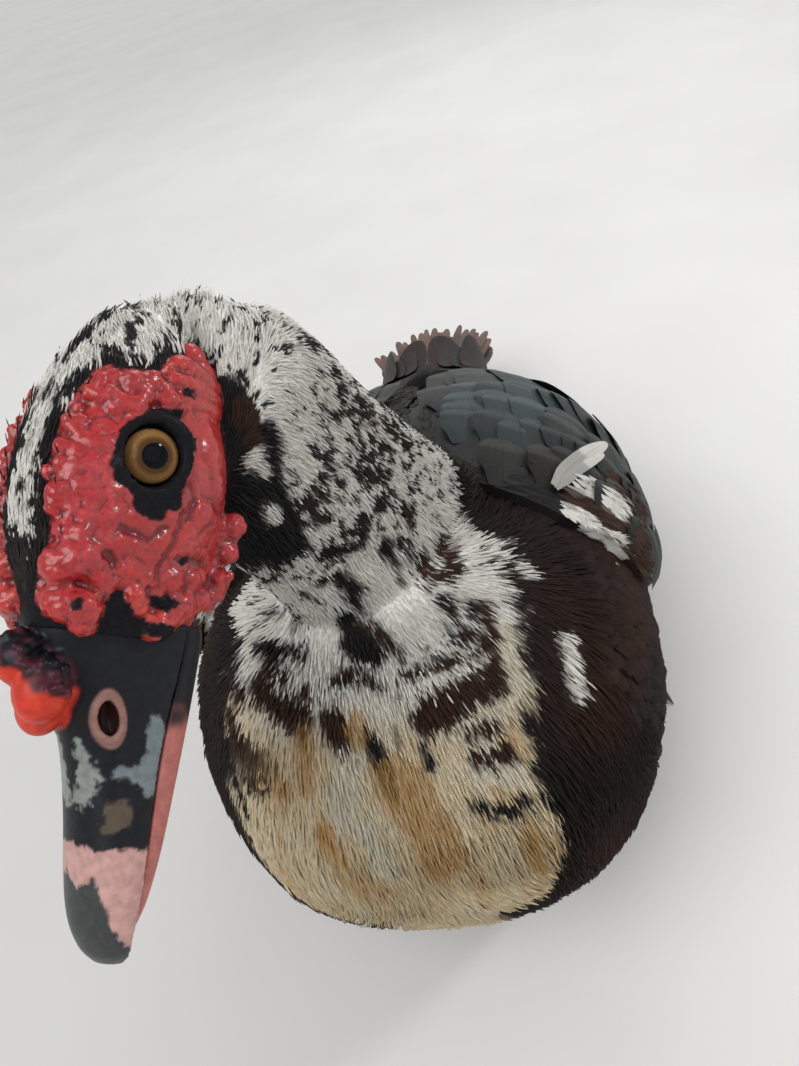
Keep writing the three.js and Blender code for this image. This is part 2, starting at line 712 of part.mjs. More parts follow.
function tailCore() {
  const [rootY, rootZ, half, rise, drop] = TORSO[TORSO.length - 1];
  const rings = TAIL_CORE.map(([back, share, height]) => {
    const middle = vec(0, rootY + GAP + back, rootZ + height);
    const sizes = [half, rise, drop].map((size) => size * share);
    return ring(middle, vec(1, 0, 0), vec(0, 0, 1), ...sizes, TAIL_SIDES, SKULL_SQUARE);
  });
  return loft(rings);
}
const tailWhole = fuse([solid(tailCore()), ...tailFeathers()]).asOriginal().simplify(SMOOTHING);
const tail = tailWhole.subtract(torsoGrown);

// The wings lie over the tail's root, and are cut clear of it, the torso and the neck.
const tailRaised = tail.add(tail.translate([0, 0, GAP]));
const clearOfBody = (wing) => largest(wing.subtract(torsoGrown).subtract(neckGrown).subtract(tailRaised));

// Leg
function tube(path, sides = 7) {
  const rings = path.map(([x, y, z, wide, high], i) => {
    const [ax, ay] = path[Math.max(i - 1, 0)];
    const [bx, by] = path[Math.min(i + 1, path.length - 1)];
    const across = vec(by - ay, ax - bx, 0).normalize();
    return ring(vec(x, y, z), across, vec(0, 0, 1), wide, high, high, sides);
  });
  return solid(loft(rings));
}

function thighShape(grow = 0) {
  return solid(ball(THIGH.at, THIGH.size.map((s) => s + grow), THIGH.turn, 2));
}

// A toe from the ball of the foot, with its joints a little thicker: heading in degrees out from straight
// forward.
function toePath({ heading, length, radius }) {
  const turn = radians(heading);
  const way = vec(Math.sin(turn), -Math.cos(turn), 0);
  return TOE_JOINTS.map(([share, swell]) => {
    const at = vec(...FOOT.ball).addScaledVector(way, share * length);
    const high = radius * swell * mix(1, TOE_THIN, share);
    return [at.x, at.y, high * TOE_SINK, high, high];
  });
}

function toeEnd(toe, past) {
  const turn = radians(toe.heading);
  const way = vec(Math.sin(turn), -Math.cos(turn), 0);
  return { way, point: vec(...FOOT.ball).addScaledVector(way, toe.length + past) };
}

function web() {
  const shape = new THREE.Shape();
  const root = FOOT.ball;
  shape.moveTo(root[0] + WEB.root, root[1] + WEB.root);
  shape.lineTo(root[0] - WEB.root, root[1] + WEB.root);
  TOES.forEach((toe, k) => {
    const { point } = toeEnd(toe, -WEB.short);
    if (k === 0) shape.lineTo(point.x, point.y);
    else {
      const before = toeEnd(TOES[k - 1], -WEB.short).point;
      const dip = before.add(point).multiplyScalar(0.5).lerp(vec(...root), WEB.dip);
      shape.quadraticCurveTo(dip.x, dip.y, point.x, point.y);
    }
  });
  shape.closePath();
  const settings = { depth: WEB.thick, bevelEnabled: false, curveSegments: 6 };
  return solid(new THREE.ExtrudeGeometry(shape, settings));
}

function footShape() {
  const parts = [web(), tube(FOOT.tarsus), tube(FOOT.hallux, 6), ...TOES.map((toe) => tube(toePath(toe)))];
  return largest(fuse(parts).trimByPlane([0, 0, 1], FLOOR).subtract(thighShape(GAP)).subtract(torsoGrown));
}

function claw(toe) {
  const path = Array.from({ length: CLAW.steps }, (_, i) => {
    const t = i / (CLAW.steps - 1);
    const { point } = toeEnd(toe, GAP + CLAW.length * t);
    const radius = mix(CLAW.radius, CLAW.point, t ** 1.5);
    return [point.x, point.y, mix(CLAW.height, radius, t * t), radius * 0.8, radius];
  });
  return largest(tube(path, 5).trimByPlane([0, 0, 1], FLOOR).subtract(torsoGrown));
}

// Assembly
const FEATHER_DARK = { color: 0x1f211d, roughness: 0.6 };
const FINISH = {
  torso: { color: 0xb9b3a2, roughness: 0.8 },
  neck: { color: 0x8d8b84, roughness: 0.85 },
  head: { color: 0xa8252a, roughness: 0.35 },
  upper_beak: { color: 0x5f6670, roughness: 0.4 },
  lower_beak: { color: 0xc99a93, roughness: 0.45 },
  eye: { color: 0x5a3a12, roughness: 0.05 },
  wing: FEATHER_DARK,
  tail: { color: 0x4a3020, roughness: 0.7 },
  thigh: { color: 0x3a352e, roughness: 0.8 },
  foot: { color: 0x8a7d4e, roughness: 0.55 },
  claw: { color: 0x2a2622, roughness: 0.4 },
};

const model = new THREE.Group();
function add(name, finish, body) {
  const material = new THREE.MeshStandardMaterial({ metalness: 0, ...FINISH[finish] });
  const geometry = body.isBufferGeometry ? body : geometryOf(body);
  const mesh = new THREE.Mesh(geometry, material);
  mesh.name = name;
  model.add(mesh);
}

const rightSide = (body) => mirror(geometryOf(body), 0);
add("torso", "torso", torso);
add("neck", "neck", largest(neckBelow.subtract(torsoGrown)));
add("head", "head", largest(headFlesh));
add("upper_beak", "upper_beak", largest(upperBeak));
add("lower_beak", "lower_beak", lowerBeakShape());
add("eye_left", "eye", eyeball(1));
add("eye_right", "eye", eyeball(-1));
add("wing_left", "wing", clearOfBody(wingLeft));
add("wing_right", "wing", clearOfBody(solid(rightSide(wingLeft))));
add("tail", "tail", largest(tail));
const thigh = largest(thighShape().trimByPlane([0, 0, 1], FLOOR).subtract(torsoGrown));
const foot = footShape();
add("thigh_left", "thigh", thigh);
add("thigh_right", "thigh", rightSide(thigh));
add("foot_left", "foot", foot);
add("foot_right", "foot", rightSide(foot));
for (const toe of TOES) {
  add(`claw_left_${toe.name}`, "claw", claw(toe));
  add(`claw_right_${toe.name}`, "claw", rightSide(claw(toe)));
}

// The origin is the middle of the model's box, on the floor.
const box = new THREE.Box3().setFromObject(model);
const middle = box.getCenter(vec(0, 0, 0));
model.position.set(-middle.x, -middle.y, 0);

export default model;
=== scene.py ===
# A life-size muscovy drake sitting on its belly, the head turned to its right and tipped down.
import itertools
import math

import bmesh
import bpy
import numpy as np
from mathutils import Matrix, Vector
from mathutils.bvhtree import BVHTree
from mathutils.kdtree import KDTree


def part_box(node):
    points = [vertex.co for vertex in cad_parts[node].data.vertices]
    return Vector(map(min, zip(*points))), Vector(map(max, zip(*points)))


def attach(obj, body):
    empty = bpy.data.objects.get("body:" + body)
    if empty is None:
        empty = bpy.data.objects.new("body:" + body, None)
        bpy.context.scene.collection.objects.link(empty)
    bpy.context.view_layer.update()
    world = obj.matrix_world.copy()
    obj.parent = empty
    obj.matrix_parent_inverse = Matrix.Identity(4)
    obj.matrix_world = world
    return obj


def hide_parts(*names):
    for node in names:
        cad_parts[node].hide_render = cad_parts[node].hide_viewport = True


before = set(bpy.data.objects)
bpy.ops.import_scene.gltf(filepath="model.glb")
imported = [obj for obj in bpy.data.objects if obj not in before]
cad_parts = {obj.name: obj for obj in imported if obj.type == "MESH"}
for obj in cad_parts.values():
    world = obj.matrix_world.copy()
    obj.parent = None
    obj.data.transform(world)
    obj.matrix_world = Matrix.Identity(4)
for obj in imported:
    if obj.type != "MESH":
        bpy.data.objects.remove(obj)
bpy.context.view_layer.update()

mm = 0.001  # all tables below are in millimetres, in the model's own frame before it was centred on the floor

# Colours, linear
tone = {name: np.array(value) for name, value in {
    "white": (0.72, 0.70, 0.64),
    "ivory": (0.64, 0.59, 0.47),
    "cream": (0.66, 0.56, 0.38),
    "ochre": (0.50, 0.30, 0.11),
    "grey": (0.22, 0.21, 0.20),
    "brown": (0.042, 0.020, 0.013),
    "rust": (0.22, 0.095, 0.045),
    "black": (0.013, 0.012, 0.012),
    "teal": (0.028, 0.072, 0.070),
    "green": (0.016, 0.046, 0.034),
    "bronze": (0.052, 0.036, 0.032),
    # a painted reflection of the sky, laid on the top of the wing
    "tealSkyReflection": (0.115, 0.185, 0.180),
    "lilac": (0.46, 0.45, 0.50),
    "red": (0.36, 0.015, 0.017),
    "orange": (0.58, 0.050, 0.028),
    "pink": (0.52, 0.065, 0.072),
    "deepRed": (0.13, 0.008, 0.011),
    "skinBlack": (0.010, 0.010, 0.012),
}.items()}

# The torso: place along the back (y), height of the widest line, half width, rise, drop
torso = {
    "stations": [
        [-176, 118, 0, 0, 0], [-167, 115, 48, 44, 42], [-140, 108, 77, 78, 74], [-98, 101, 96, 98, 96],
        [-50, 94, 101, 96, 98], [0, 88, 100, 89, 93], [50, 82, 97, 77, 86], [100, 74, 88, 60, 76],
        [145, 68, 71, 44, 56], [180, 64, 51, 31, 36], [205, 62, 34, 21, 21],
    ],
    "past": [[245, 63, 31, 20, 18], [285, 65, 28, 19, 17], [330, 67, 26, 18, 16]],
    "square": 2.3,
    "coatDepth": 3.8,  # how far the skin lies under the tips of the feathers
    "span": (0.05, 0.995), "crowding": 0.72,  # of its rings, closer together at the breast
    "rings": 70, "sides": 96,
}
neck = {
    "stations": [
        [-3, -52, 120, 62], [-4, -60, 152, 57], [-7, -70, 184, 48], [-11, -82, 214, 41],
        [-17, -94, 244, 37], [-24, -105, 274, 34.5], [-30, -115, 293, 27],
    ],
    "coatDepth": 2.1,
    "slim": 0.30,  # how much narrower it is where it meets the skull
    "inBody": (0.3, 5.3), "inHead": (4.4, 5.9),  # the stretches in the body's skin and in the head's
    "rings": 50, "sides": 64,
    "base": (-7, -72, 178),  # where the feathers of the breast fan out from
}
head = {
    "at": (-38.7, -140.9, 289.9),
    "forward": (-0.24, -0.798, -0.553),
    "up": (-0.377, -0.448, 0.811),
    "stations": [
        [-39, 0, 0, 0], [-32, 9, 9, 10], [-20, 16.5, 16, 21], [-6, 20.5, 20.5, 28.5],
        [8, 21.5, 22, 31], [22, 20, 20.5, 31], [34, 17.5, 17, 29.5], [44, 15.5, 13, 27],
    ],
    "middle": -3, "square": 2.2, "rings": 40, "sides": 60,
    "usual": 20,  # the radius that turns a share of the skull's size into millimetres
}
voxels = {"body": 3.0, "head": 0.6, "beak": 0.5, "foot": 1.0, "claw": 0.35}

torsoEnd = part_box("torso")[1].y / mm
shift = np.array([0, torsoEnd - torso["stations"][-1][0], 0])


def toScene(points):
    return (np.asarray(points, float) + shift) * mm


def fromScene(points):
    return np.asarray(points, float) / mm - shift


def ease(low, high, value):
    s = np.clip((np.asarray(value, float) - low) / (high - low), 0, 1)
    return s * s * (3 - 2 * s)


def mixed(a, b, share):
    return a + (b - a) * share


def unit(vectors):
    vectors = np.asarray(vectors, float)
    return vectors / np.maximum(np.linalg.norm(vectors, axis=-1, keepdims=True), 1e-9)


def lengths(vectors):
    return np.linalg.norm(vectors, axis=-1)


# Angles all round, without the last
def circle(count):
    return np.linspace(0, 2 * math.pi, count, endpoint=False)


# Columns side by side, as points
def stacked(*columns):
    return np.ascontiguousarray(np.stack(np.broadcast_arrays(*columns), axis=-1))


# Points written as x, y, x, y
def pairs(numbers):
    return np.array(numbers, float).reshape(-1, 2)


# Smooth value noise from -1 to 1
def grain(points, size, seed):
    q = np.asarray(points, float) / size + seed * 17.31
    cell = np.floor(q).astype(np.int64)
    share = q - cell
    share = share * share * (3 - 2 * share)
    total = np.zeros(len(q))
    for corner in itertools.product((0, 1), repeat=3):
        weight = np.prod(np.where(corner, share, 1 - share), axis=1)
        c = cell + np.array(corner)
        key = (c[:, 0] * 73856093) ^ (c[:, 1] * 19349663) ^ (c[:, 2] * 83492791) ^ (seed * 40503)
        key = ((key & 0xFFFFFFFF) * 2654435761) & 0xFFFFFFFF
        key = ((key ^ (key >> 15)) * 2246822519) & 0xFFFFFFFF
        total += weight * ((key ^ (key >> 13)) & 0xFFFF) / 0xFFFF
    return 2 * total - 1


# A table of stations read as smooth curves, one row for each whole number of place
def tableReader(stations):
    rows = np.array(stations, float)
    last = len(rows) - 1

    def read(place):
        at = np.clip(np.asarray(place, float), 0, last)
        i = np.minimum(at.astype(int), last - 1)
        s = (at - i)[..., None]
        p0, p1, p2, p3 = (rows[np.clip(i + k, 0, last)] for k in (-1, 0, 1, 2))
        bend = (2 * p0 - 5 * p1 + 4 * p2 - p3) * s + (3 * p1 - p0 - 3 * p2 + p3) * s * s
        return p1 + 0.5 * s * (p2 - p0 + bend)

    return read


torsoAt = tableReader(torso["stations"] + torso["past"])
neckAt = tableReader(neck["stations"])
skullAt = tableReader(head["stations"])


def powered(value, power):
    return np.sign(value) * np.abs(value) ** power


# Across and up on a squarish round section at an angle
def onSection(angle, square, half, rise, drop, grow):
    across, up = (powered(turn, 2 / square) for turn in (np.cos(angle), np.sin(angle)))
    return across * (half + grow), up * (np.where(np.sin(angle) > 0, rise, drop) + grow)


# The angle on such a section, in degrees, of shares of its size across and up
def sectionAngle(u, v, square):
    return np.degrees(np.arctan2(powered(v, square / 2), powered(u, square / 2)))


def torsoPoint(place, angle, grow=0.0):
    y, height, *sizes = np.moveaxis(torsoAt(place), -1, 0)
    x, z = onSection(angle, torso["square"], *sizes, grow)
    return stacked(x, y, height + z)


# A place over the torso: the point, the way out and the ways back and round
def overTorso(place, angle, lift=0.0):
    step = 0.02
    point = torsoPoint(place, angle)
    back = (torsoPoint(place + step, angle) - torsoPoint(place - step, angle)) / (2 * step)
    around = (torsoPoint(place, angle + step) - torsoPoint(place, angle - step)) / (2 * step)
    out = unit(np.cross(back, around))
    axis = np.array([0, point[1], torsoAt(place)[1]])
    if out @ (point - axis) < 0:
        out = -out
    return point + out * lift, out, back, around


densePlaces = np.linspace(0, len(torso["stations"]) + len(torso["past"]) - 1, 600)
denseY = torsoAt(densePlaces)[:, 0]


# The place along the torso and the angle up from the bird's left, in degrees, of any points
def torsoPlace(points):
    place = np.interp(points[:, 1], denseY, densePlaces)
    _, height, half, rise, drop = torsoAt(place).T
    tall = points[:, 2] - height
    u = points[:, 0] / np.maximum(half, 1)
    v = tall / np.maximum(np.where(tall > 0, rise, drop), 1)
    return place, sectionAngle(u, v, torso["square"])


# The place along the neck where its fine plumage ends, lower at the back
def collar(points):
    return np.interp(-points[:, 1], [70, 125], [2.4, 3.6])


neckPlaces = np.linspace(0, len(neck["stations"]) - 1, 90)
neckLine = neckAt(neckPlaces)[:, :3]


# The place along the neck and the distance from its middle line over its radius there
def neckPlace(points):
    place = np.empty(len(points))
    share = np.empty(len(points))
    for start in range(0, len(points), 20000):
        part = points[start:start + 20000]
        gap = lengths(part[:, None] - neckLine)
        nearest = gap.argmin(axis=1)
        place[start:start + 20000] = neckPlaces[nearest]
        share[start:start + 20000] = gap[np.arange(len(part)), nearest] / neckAt(neckPlaces[nearest])[:, 3]
    return place, share


headForward = unit(head["forward"])
headUp = unit(np.array(head["up"]) - headForward * (np.array(head["up"]) @ headForward))
headLeft = np.cross(headUp, headForward)
headAxes = np.array([headForward, headLeft, headUp])


def inHead(points):
    return np.asarray(points, float) @ headAxes + head["at"]


def toHead(points):
    return (np.asarray(points, float) - head["at"]) @ headAxes.T


denseSkull = np.linspace(0, len(head["stations"]) - 1, 300)
denseForward = skullAt(denseSkull)[:, 0]


# A point of the skull in its own frame: forward, and the angle up from the side
def skullPoint(forward, angle, grow=0.0):
    _, half, rise, drop = np.moveaxis(skullAt(np.interp(forward, denseForward, denseSkull)), -1, 0)
    across, tall = onSection(angle, head["square"], half, rise - head["middle"], drop + head["middle"], grow)
    return stacked(forward, across, head["middle"] + tall)


# Points in the head's frame, across and up as shares of the skull's size there
def skullShares(local):
    _, half, rise, drop = skullAt(np.interp(local[:, 0], denseForward, denseSkull)).T
    tall = local[:, 2] - head["middle"]
    reach = np.where(tall > 0, rise - head["middle"], drop + head["middle"])
    return np.abs(local[:, 1]) / np.maximum(half, 1), tall / np.maximum(reach, 1)


# Forward, and the angle up from the nearer side in degrees, of points in the head's frame
def skullPlace(local):
    return local[:, 0], sectionAngle(*skullShares(local), head["square"])


# How far points in the head's frame stand out over the skull, in millimetres
def overSkull(local):
    u, v = skullShares(local)
    power = head["square"]
    return ((u ** power + np.abs(v) ** power) ** (1 / power) - 1) * head["usual"]


# The same points on the head's left side
def onLeft(local):
    return stacked(local[:, 0], np.abs(local[:, 1]), local[:, 2])


# Camera
view = {
    "place": (61.3, -306.9, 391.0), "yaw": 13, "pitch": 40, "roll": 19, "lens": 28.37, "sensor": 36.0,
    "picture": (799, 1066),
    "search": (120, 560, 4),  # distances tried where a line of sight misses
}


def viewAxes():
    yaw, pitch, roll = (math.radians(view[name]) for name in ("yaw", "pitch", "roll"))
    ahead = np.array([-math.sin(yaw), math.cos(yaw), 0])
    side = np.array([math.cos(yaw), math.sin(yaw), 0])
    up = np.array([0, 0, 1.0])
    gaze = math.cos(pitch) * ahead - math.sin(pitch) * up
    level = math.sin(pitch) * ahead + math.cos(pitch) * up
    return math.cos(roll) * side - math.sin(roll) * level, math.sin(roll) * side + math.cos(roll) * level, gaze


viewRight, viewUp, viewGaze = viewAxes()
focal = view["lens"] / view["sensor"] * view["picture"][1]  # in pixels of the picture


def addCamera():
    data = bpy.data.cameras.new("camera")
    data.lens = view["lens"]
    data.sensor_width = view["sensor"]
    data.clip_start = 0.01
    made = bpy.data.objects.new("camera", data)
    turn = Matrix((viewRight, viewUp, -viewGaze)).transposed()
    made.matrix_world = Matrix.Translation(Vector(toScene(view["place"]))) @ turn.to_4x4()
    bpy.context.scene.collection.objects.link(made)
    bpy.context.scene.camera = made


# Where the line of sight through a pixel of the picture meets a surface, or passes it most closely
def seen(pixel, surface):
    width, height = view["picture"]
    ray = viewGaze + viewRight * (pixel[0] - width / 2) / focal + viewUp * (height / 2 - pixel[1]) / focal
    start = Vector(view["place"])
    ray = Vector(ray).normalized()
    hit, normal, _, _ = surface.ray_cast(start, ray)
    if hit is not None:
        return np.array(hit), np.array(normal)
    best = None
    for reach in range(*view["search"]):
        at = start + ray * reach
        near, normal, _, gap = surface.find_nearest(at)
        if best is None or gap < best[0]:
            best = (gap, near, normal)
    return np.array(best[1]), np.array(best[2])


# Mesh helpers
def meshObject(name, points, faces, inScene=True):
    mesh = bpy.data.meshes.new(name)
    placed = toScene(points) if inScene else np.asarray(points, float)
    mesh.from_pydata(placed.tolist(), [], [list(f) for f in faces])
    mesh.update()
    made = bpy.data.objects.new(name, mesh)
    bpy.context.scene.collection.objects.link(made)
    return made


# Faces from each ring of points to the next, and from the last to the first where there are as many gaps as rings
def ringFaces(rings, sides, gaps):
    faces = []
    for r in range(gaps):
        for k in range(sides):
            a, b = r * sides + k, r * sides + (k + 1) % sides
            faces.append((a, b, (b + sides) % (rings * sides), (a + sides) % (rings * sides)))
    return faces


# Closed skin over rings of points, with a middle point at each end
def loft(rings):
    sides = len(rings[0])
    points = np.vstack(rings + [rings[0].mean(axis=0)[None], rings[-1].mean(axis=0)[None]])
    faces = ringFaces(len(rings), sides, len(rings) - 1)
    first, last = len(points) - 2, len(points) - 1
    for k in range(sides):
        nextSide = (k + 1) % sides
        faces.append((nextSide, k, first))
        faces.append(((len(rings) - 1) * sides + k, (len(rings) - 1) * sides + nextSide, last))
    return points, faces


ballShape = bmesh.new()
bmesh.ops.create_icosphere(ballShape, subdivisions=3, radius=1)
ballPoints = np.array([v.co for v in ballShape.verts])
ballFaces = [tuple(v.index for v in f.verts) for f in ballShape.faces]
ballShape.free()


def joined(parts):
    points, faces, start = [], [], 0
    for partPoints, partFaces in parts:
        points.append(partPoints)
        faces += [tuple(i + start for i in f) for f in partFaces]
        start += len(partPoints)
    return np.vstack(points), faces


def outwards(mesh):
    shape = bmesh.new()
    shape.from_mesh(mesh)
    bmesh.ops.recalc_face_normals(shape, faces=shape.faces)
    shape.to_mesh(mesh)
    shape.free()


def plainMesh(made):
    made.data.update()
    bpy.context.view_layer.update()
    fresh = bpy.data.meshes.new_from_object(made.evaluated_get(bpy.context.evaluated_depsgraph_get()))
    made.modifiers.clear()
    made.data = fresh
    return made


def discard(made):
    bpy.data.objects.remove(made, do_unlink=True)


# A new even mesh over a closed one, then eased
def rounded(made, voxel, rounds):
    cover = made.modifiers.new("cover", "REMESH")
    cover.mode = "VOXEL"
    cover.voxel_size = voxel * mm
    cover.use_smooth_shade = True
    made.modifiers.new("ease", "SMOOTH").iterations = rounds
    return plainMesh(made)


# One closed skin round all the shapes given
def remeshed(name, parts, voxel, rounds):
    made = meshObject(name, *joined(parts))
    outwards(made.data)
    return rounded(made, voxel, rounds)


def combine(first, second, operation):
    change = first.modifiers.new("combine", "BOOLEAN")
    change.operation = operation
    change.solver = "MANIFOLD"
    change.object = second
    plainMesh(first)
    discard(second)
    return first


def readField(items, name, width, kind=float):
    flat = np.empty(len(items) * width, kind)
    items.foreach_get(name, flat)
    return flat.reshape(-1, width)


def verticesOf(mesh):
    return fromScene(readField(mesh.vertices, "co", 3))


def normalsOf(mesh):
    return readField(mesh.vertices, "normal", 3)


def trianglesOf(mesh):
    mesh.calc_loop_triangles()
    return readField(mesh.loop_triangles, "vertices", 3, int)


def moveVertices(mesh, points):
    mesh.vertices.foreach_set("co", toScene(points).ravel())
    mesh.update()


# A value or a vector for each vertex
def setAttribute(mesh, name, values):
    if values.ndim > 1:
        kind, field = "FLOAT_VECTOR", "vector"
    else:
        kind, field = "INT" if values.dtype == np.int32 else "FLOAT", "value"
    mesh.attributes.new(name, kind, "POINT").data.foreach_set(field, values.ravel())


# The finish of a smooth piece
def wear(made, finish):
    made.data.materials.clear()
    made.data.materials.append(finish)
    made.data.shade_smooth()


# Node helpers
def feed(tree, socket, value):
    if isinstance(value, bpy.types.NodeSocket):
        tree.links.new(value, socket)
    else:
        socket.default_value = value


def addNode(tree, kind, sockets=None, **settings):
    made = tree.nodes.new(kind)
    for key, value in settings.items():
        setattr(made, key, value)
    for key, value in (sockets or {}).items():
        feed(tree, made.inputs[key], value)
    return made


def sums(tree, operation, a, b=0.0):
    return addNode(tree, "ShaderNodeMath", {0: a, 1: b}, operation=operation).outputs[0]


def vectorSums(tree, operation, a, b):
    return addNode(tree, "ShaderNodeVectorMath", {0: a, 1: b}, operation=operation).outputs[0]


lookSockets = {
    "roughness": "Roughness", "metallic": "Metallic", "coat": "Coat Weight", "coatRoughness": "Coat Roughness",
    "sheen": "Sheen Weight", "specular": "Specular IOR Level", "soft": "Subsurface Weight",
    "softDepth": "Subsurface Scale",
}


def newMaterial(name, **look):
    material = bpy.data.materials.new(name)
    material.use_nodes = True
    tree = material.node_tree
    shader = tree.nodes["Principled BSDF"]
    for key, value in look.items():
        shader.inputs[lookSockets[key]].default_value = value
    return material, tree, shader


def readAttribute(tree, name, output="Vector"):
    return addNode(tree, "ShaderNodeAttribute", attribute_name=name).outputs[output]


def noise(tree, vector, scale, detail=2.0):
    return addNode(tree, "ShaderNodeTexNoise", {"Vector": vector, "Scale": scale, "Detail": detail}).outputs["Fac"]


def objectPlace(tree):
    return addNode(tree, "ShaderNodeTexCoord").outputs["Object"]


def blendColours(tree, share, a, b, way="MIX"):
    sockets = {0: share, 6: a, 7: b}  # the places of a colour mix among the node's sockets
    return addNode(tree, "ShaderNodeMix", sockets, data_type="RGBA", blend_type=way).outputs[2]


def ramp(tree, value, low, high, toLow=0.0, toHigh=1.0):
    sockets = {"Value": value, "From Min": low, "From Max": high, "To Min": toLow, "To Max": toHigh}
    return addNode(tree, "ShaderNodeMapRange", sockets, interpolation_type="SMOOTHSTEP").outputs["Result"]


def addBump(tree, shader, height, strength, distance):
    made = addNode(tree, "ShaderNodeBump", {"Height": height, "Strength": strength, "Distance": distance})
    tree.links.new(made.outputs["Normal"], shader.inputs["Normal"])


def addMottle(tree, shader, colour, speck, low, high):
    mottled = blendColours(tree, 1.0, colour, ramp(tree, speck, 0.3, 0.7, low, high), "MULTIPLY")
    tree.links.new(mottled, shader.inputs["Base Color"])


# Feathers are coloured in three steps from root to tip, and each change follows the barbs in a ragged comb.
def featherMaterial(name, barbs=26.0, ragged=0.30, shade=0.45, veins=0.0, **look):
    material, tree, shader = newMaterial(name, **look)
    split = addNode(tree, "ShaderNodeSeparateXYZ", {0: readAttribute(tree, "vane")})
    across, along = split.outputs[0], split.outputs[1]
    seed = readAttribute(tree, "seed", "Fac")
    spread = sums(tree, "DIVIDE", across, sums(tree, "ADD", sums(tree, "MULTIPLY", along, 0.6), 0.4))
    lines = addNode(tree, "ShaderNodeCombineXYZ", {
        0: sums(tree, "MULTIPLY", spread, barbs), 1: sums(tree, "MULTIPLY", along, 1.6),
        2: sums(tree, "MULTIPLY", seed, 91.0)}).outputs[0]
    comb = noise(tree, lines, 1.0, 1.0)
    fine = noise(tree, vectorSums(tree, "MULTIPLY", lines, (2.3, 1.4, 1.0)), 1.0, 2.0)
    edge = sums(tree, "ADD", along, sums(tree, "MULTIPLY", sums(tree, "SUBTRACT", comb, 0.5), ragged))
    lower = blendColours(tree, ramp(tree, edge, 0.60, 0.65), readAttribute(tree, "rootTone"),
                         readAttribute(tree, "midTone"))
    whole = blendColours(tree, ramp(tree, edge, 0.82, 0.87), lower, readAttribute(tree, "tipTone"))
    strand = ramp(tree, fine, 0.3, 0.7, 1 - shade, 1 + 0.3 * shade)
    if veins:
        shaft = ramp(tree, sums(tree, "ABSOLUTE", across), 0.0, 0.045, 1 - veins, 1.0)
        strand = sums(tree, "MULTIPLY", strand, shaft)
    tree.links.new(blendColours(tree, 1.0, whole, strand, "MULTIPLY"), shader.inputs["Base Color"])
    addBump(tree, shader, fine, 0.5, 0.0004)
    return material


# Body and neck skin
def torsoShape(grow):
    last = len(torso["stations"]) - 1
    angles = circle(torso["sides"])
    rings = []
    for k in range(torso["rings"] + 1):
        s = k / torso["rings"]
        ring = torsoPoint(last * mixed(*torso["span"], s * mixed(torso["crowding"], 1, s)), angles, grow)
        ring[:, 2] = np.maximum(ring[:, 2], -grow * 0.7)
        rings.append(ring)
    return loft(rings)


def neckShape(grow, start, end):
    rings = []
    for place in np.linspace(start, end, neck["rings"]):
        middle = neckAt(place)
        way = unit(neckAt(place + 0.05)[:3] - neckAt(place - 0.05)[:3])
        across = unit(np.array([1.0, 0, 0]) - way * way[0])
        third = np.cross(way, across)
        angles = circle(neck["sides"])[:, None]
        ring = middle[:3] + (middle[3] + grow) * (np.cos(angles) * across + np.sin(angles) * third)
        local = toHead(ring)
        local[:, 1] *= 1 - neck["slim"] * ease(-46, -22, local[:, 0])
        rings.append(inHead(local))
    return loft(rings)


def ballPart(at, size):
    return ballPoints * np.asarray(size, float) + np.asarray(at, float), ballFaces


def headBall(at, size):
    points, faces = ballPart(at, size)
    return inHead(points), faces


thigh = {"at": (81, 72, 32), "size": (24, 42, 22), "coatDepth": 3.2}


def bodySkin():
    parts = [torsoShape(-torso["coatDepth"]), neckShape(-neck["coatDepth"], *neck["inBody"])]
    for side in (1, -1):
        at = np.array(thigh["at"]) * (side, 1, 1)
        parts.append(ballPart(at, np.array(thigh["size"]) - thigh["coatDepth"]))
    return remeshed("skin", parts, voxels["body"], 6)


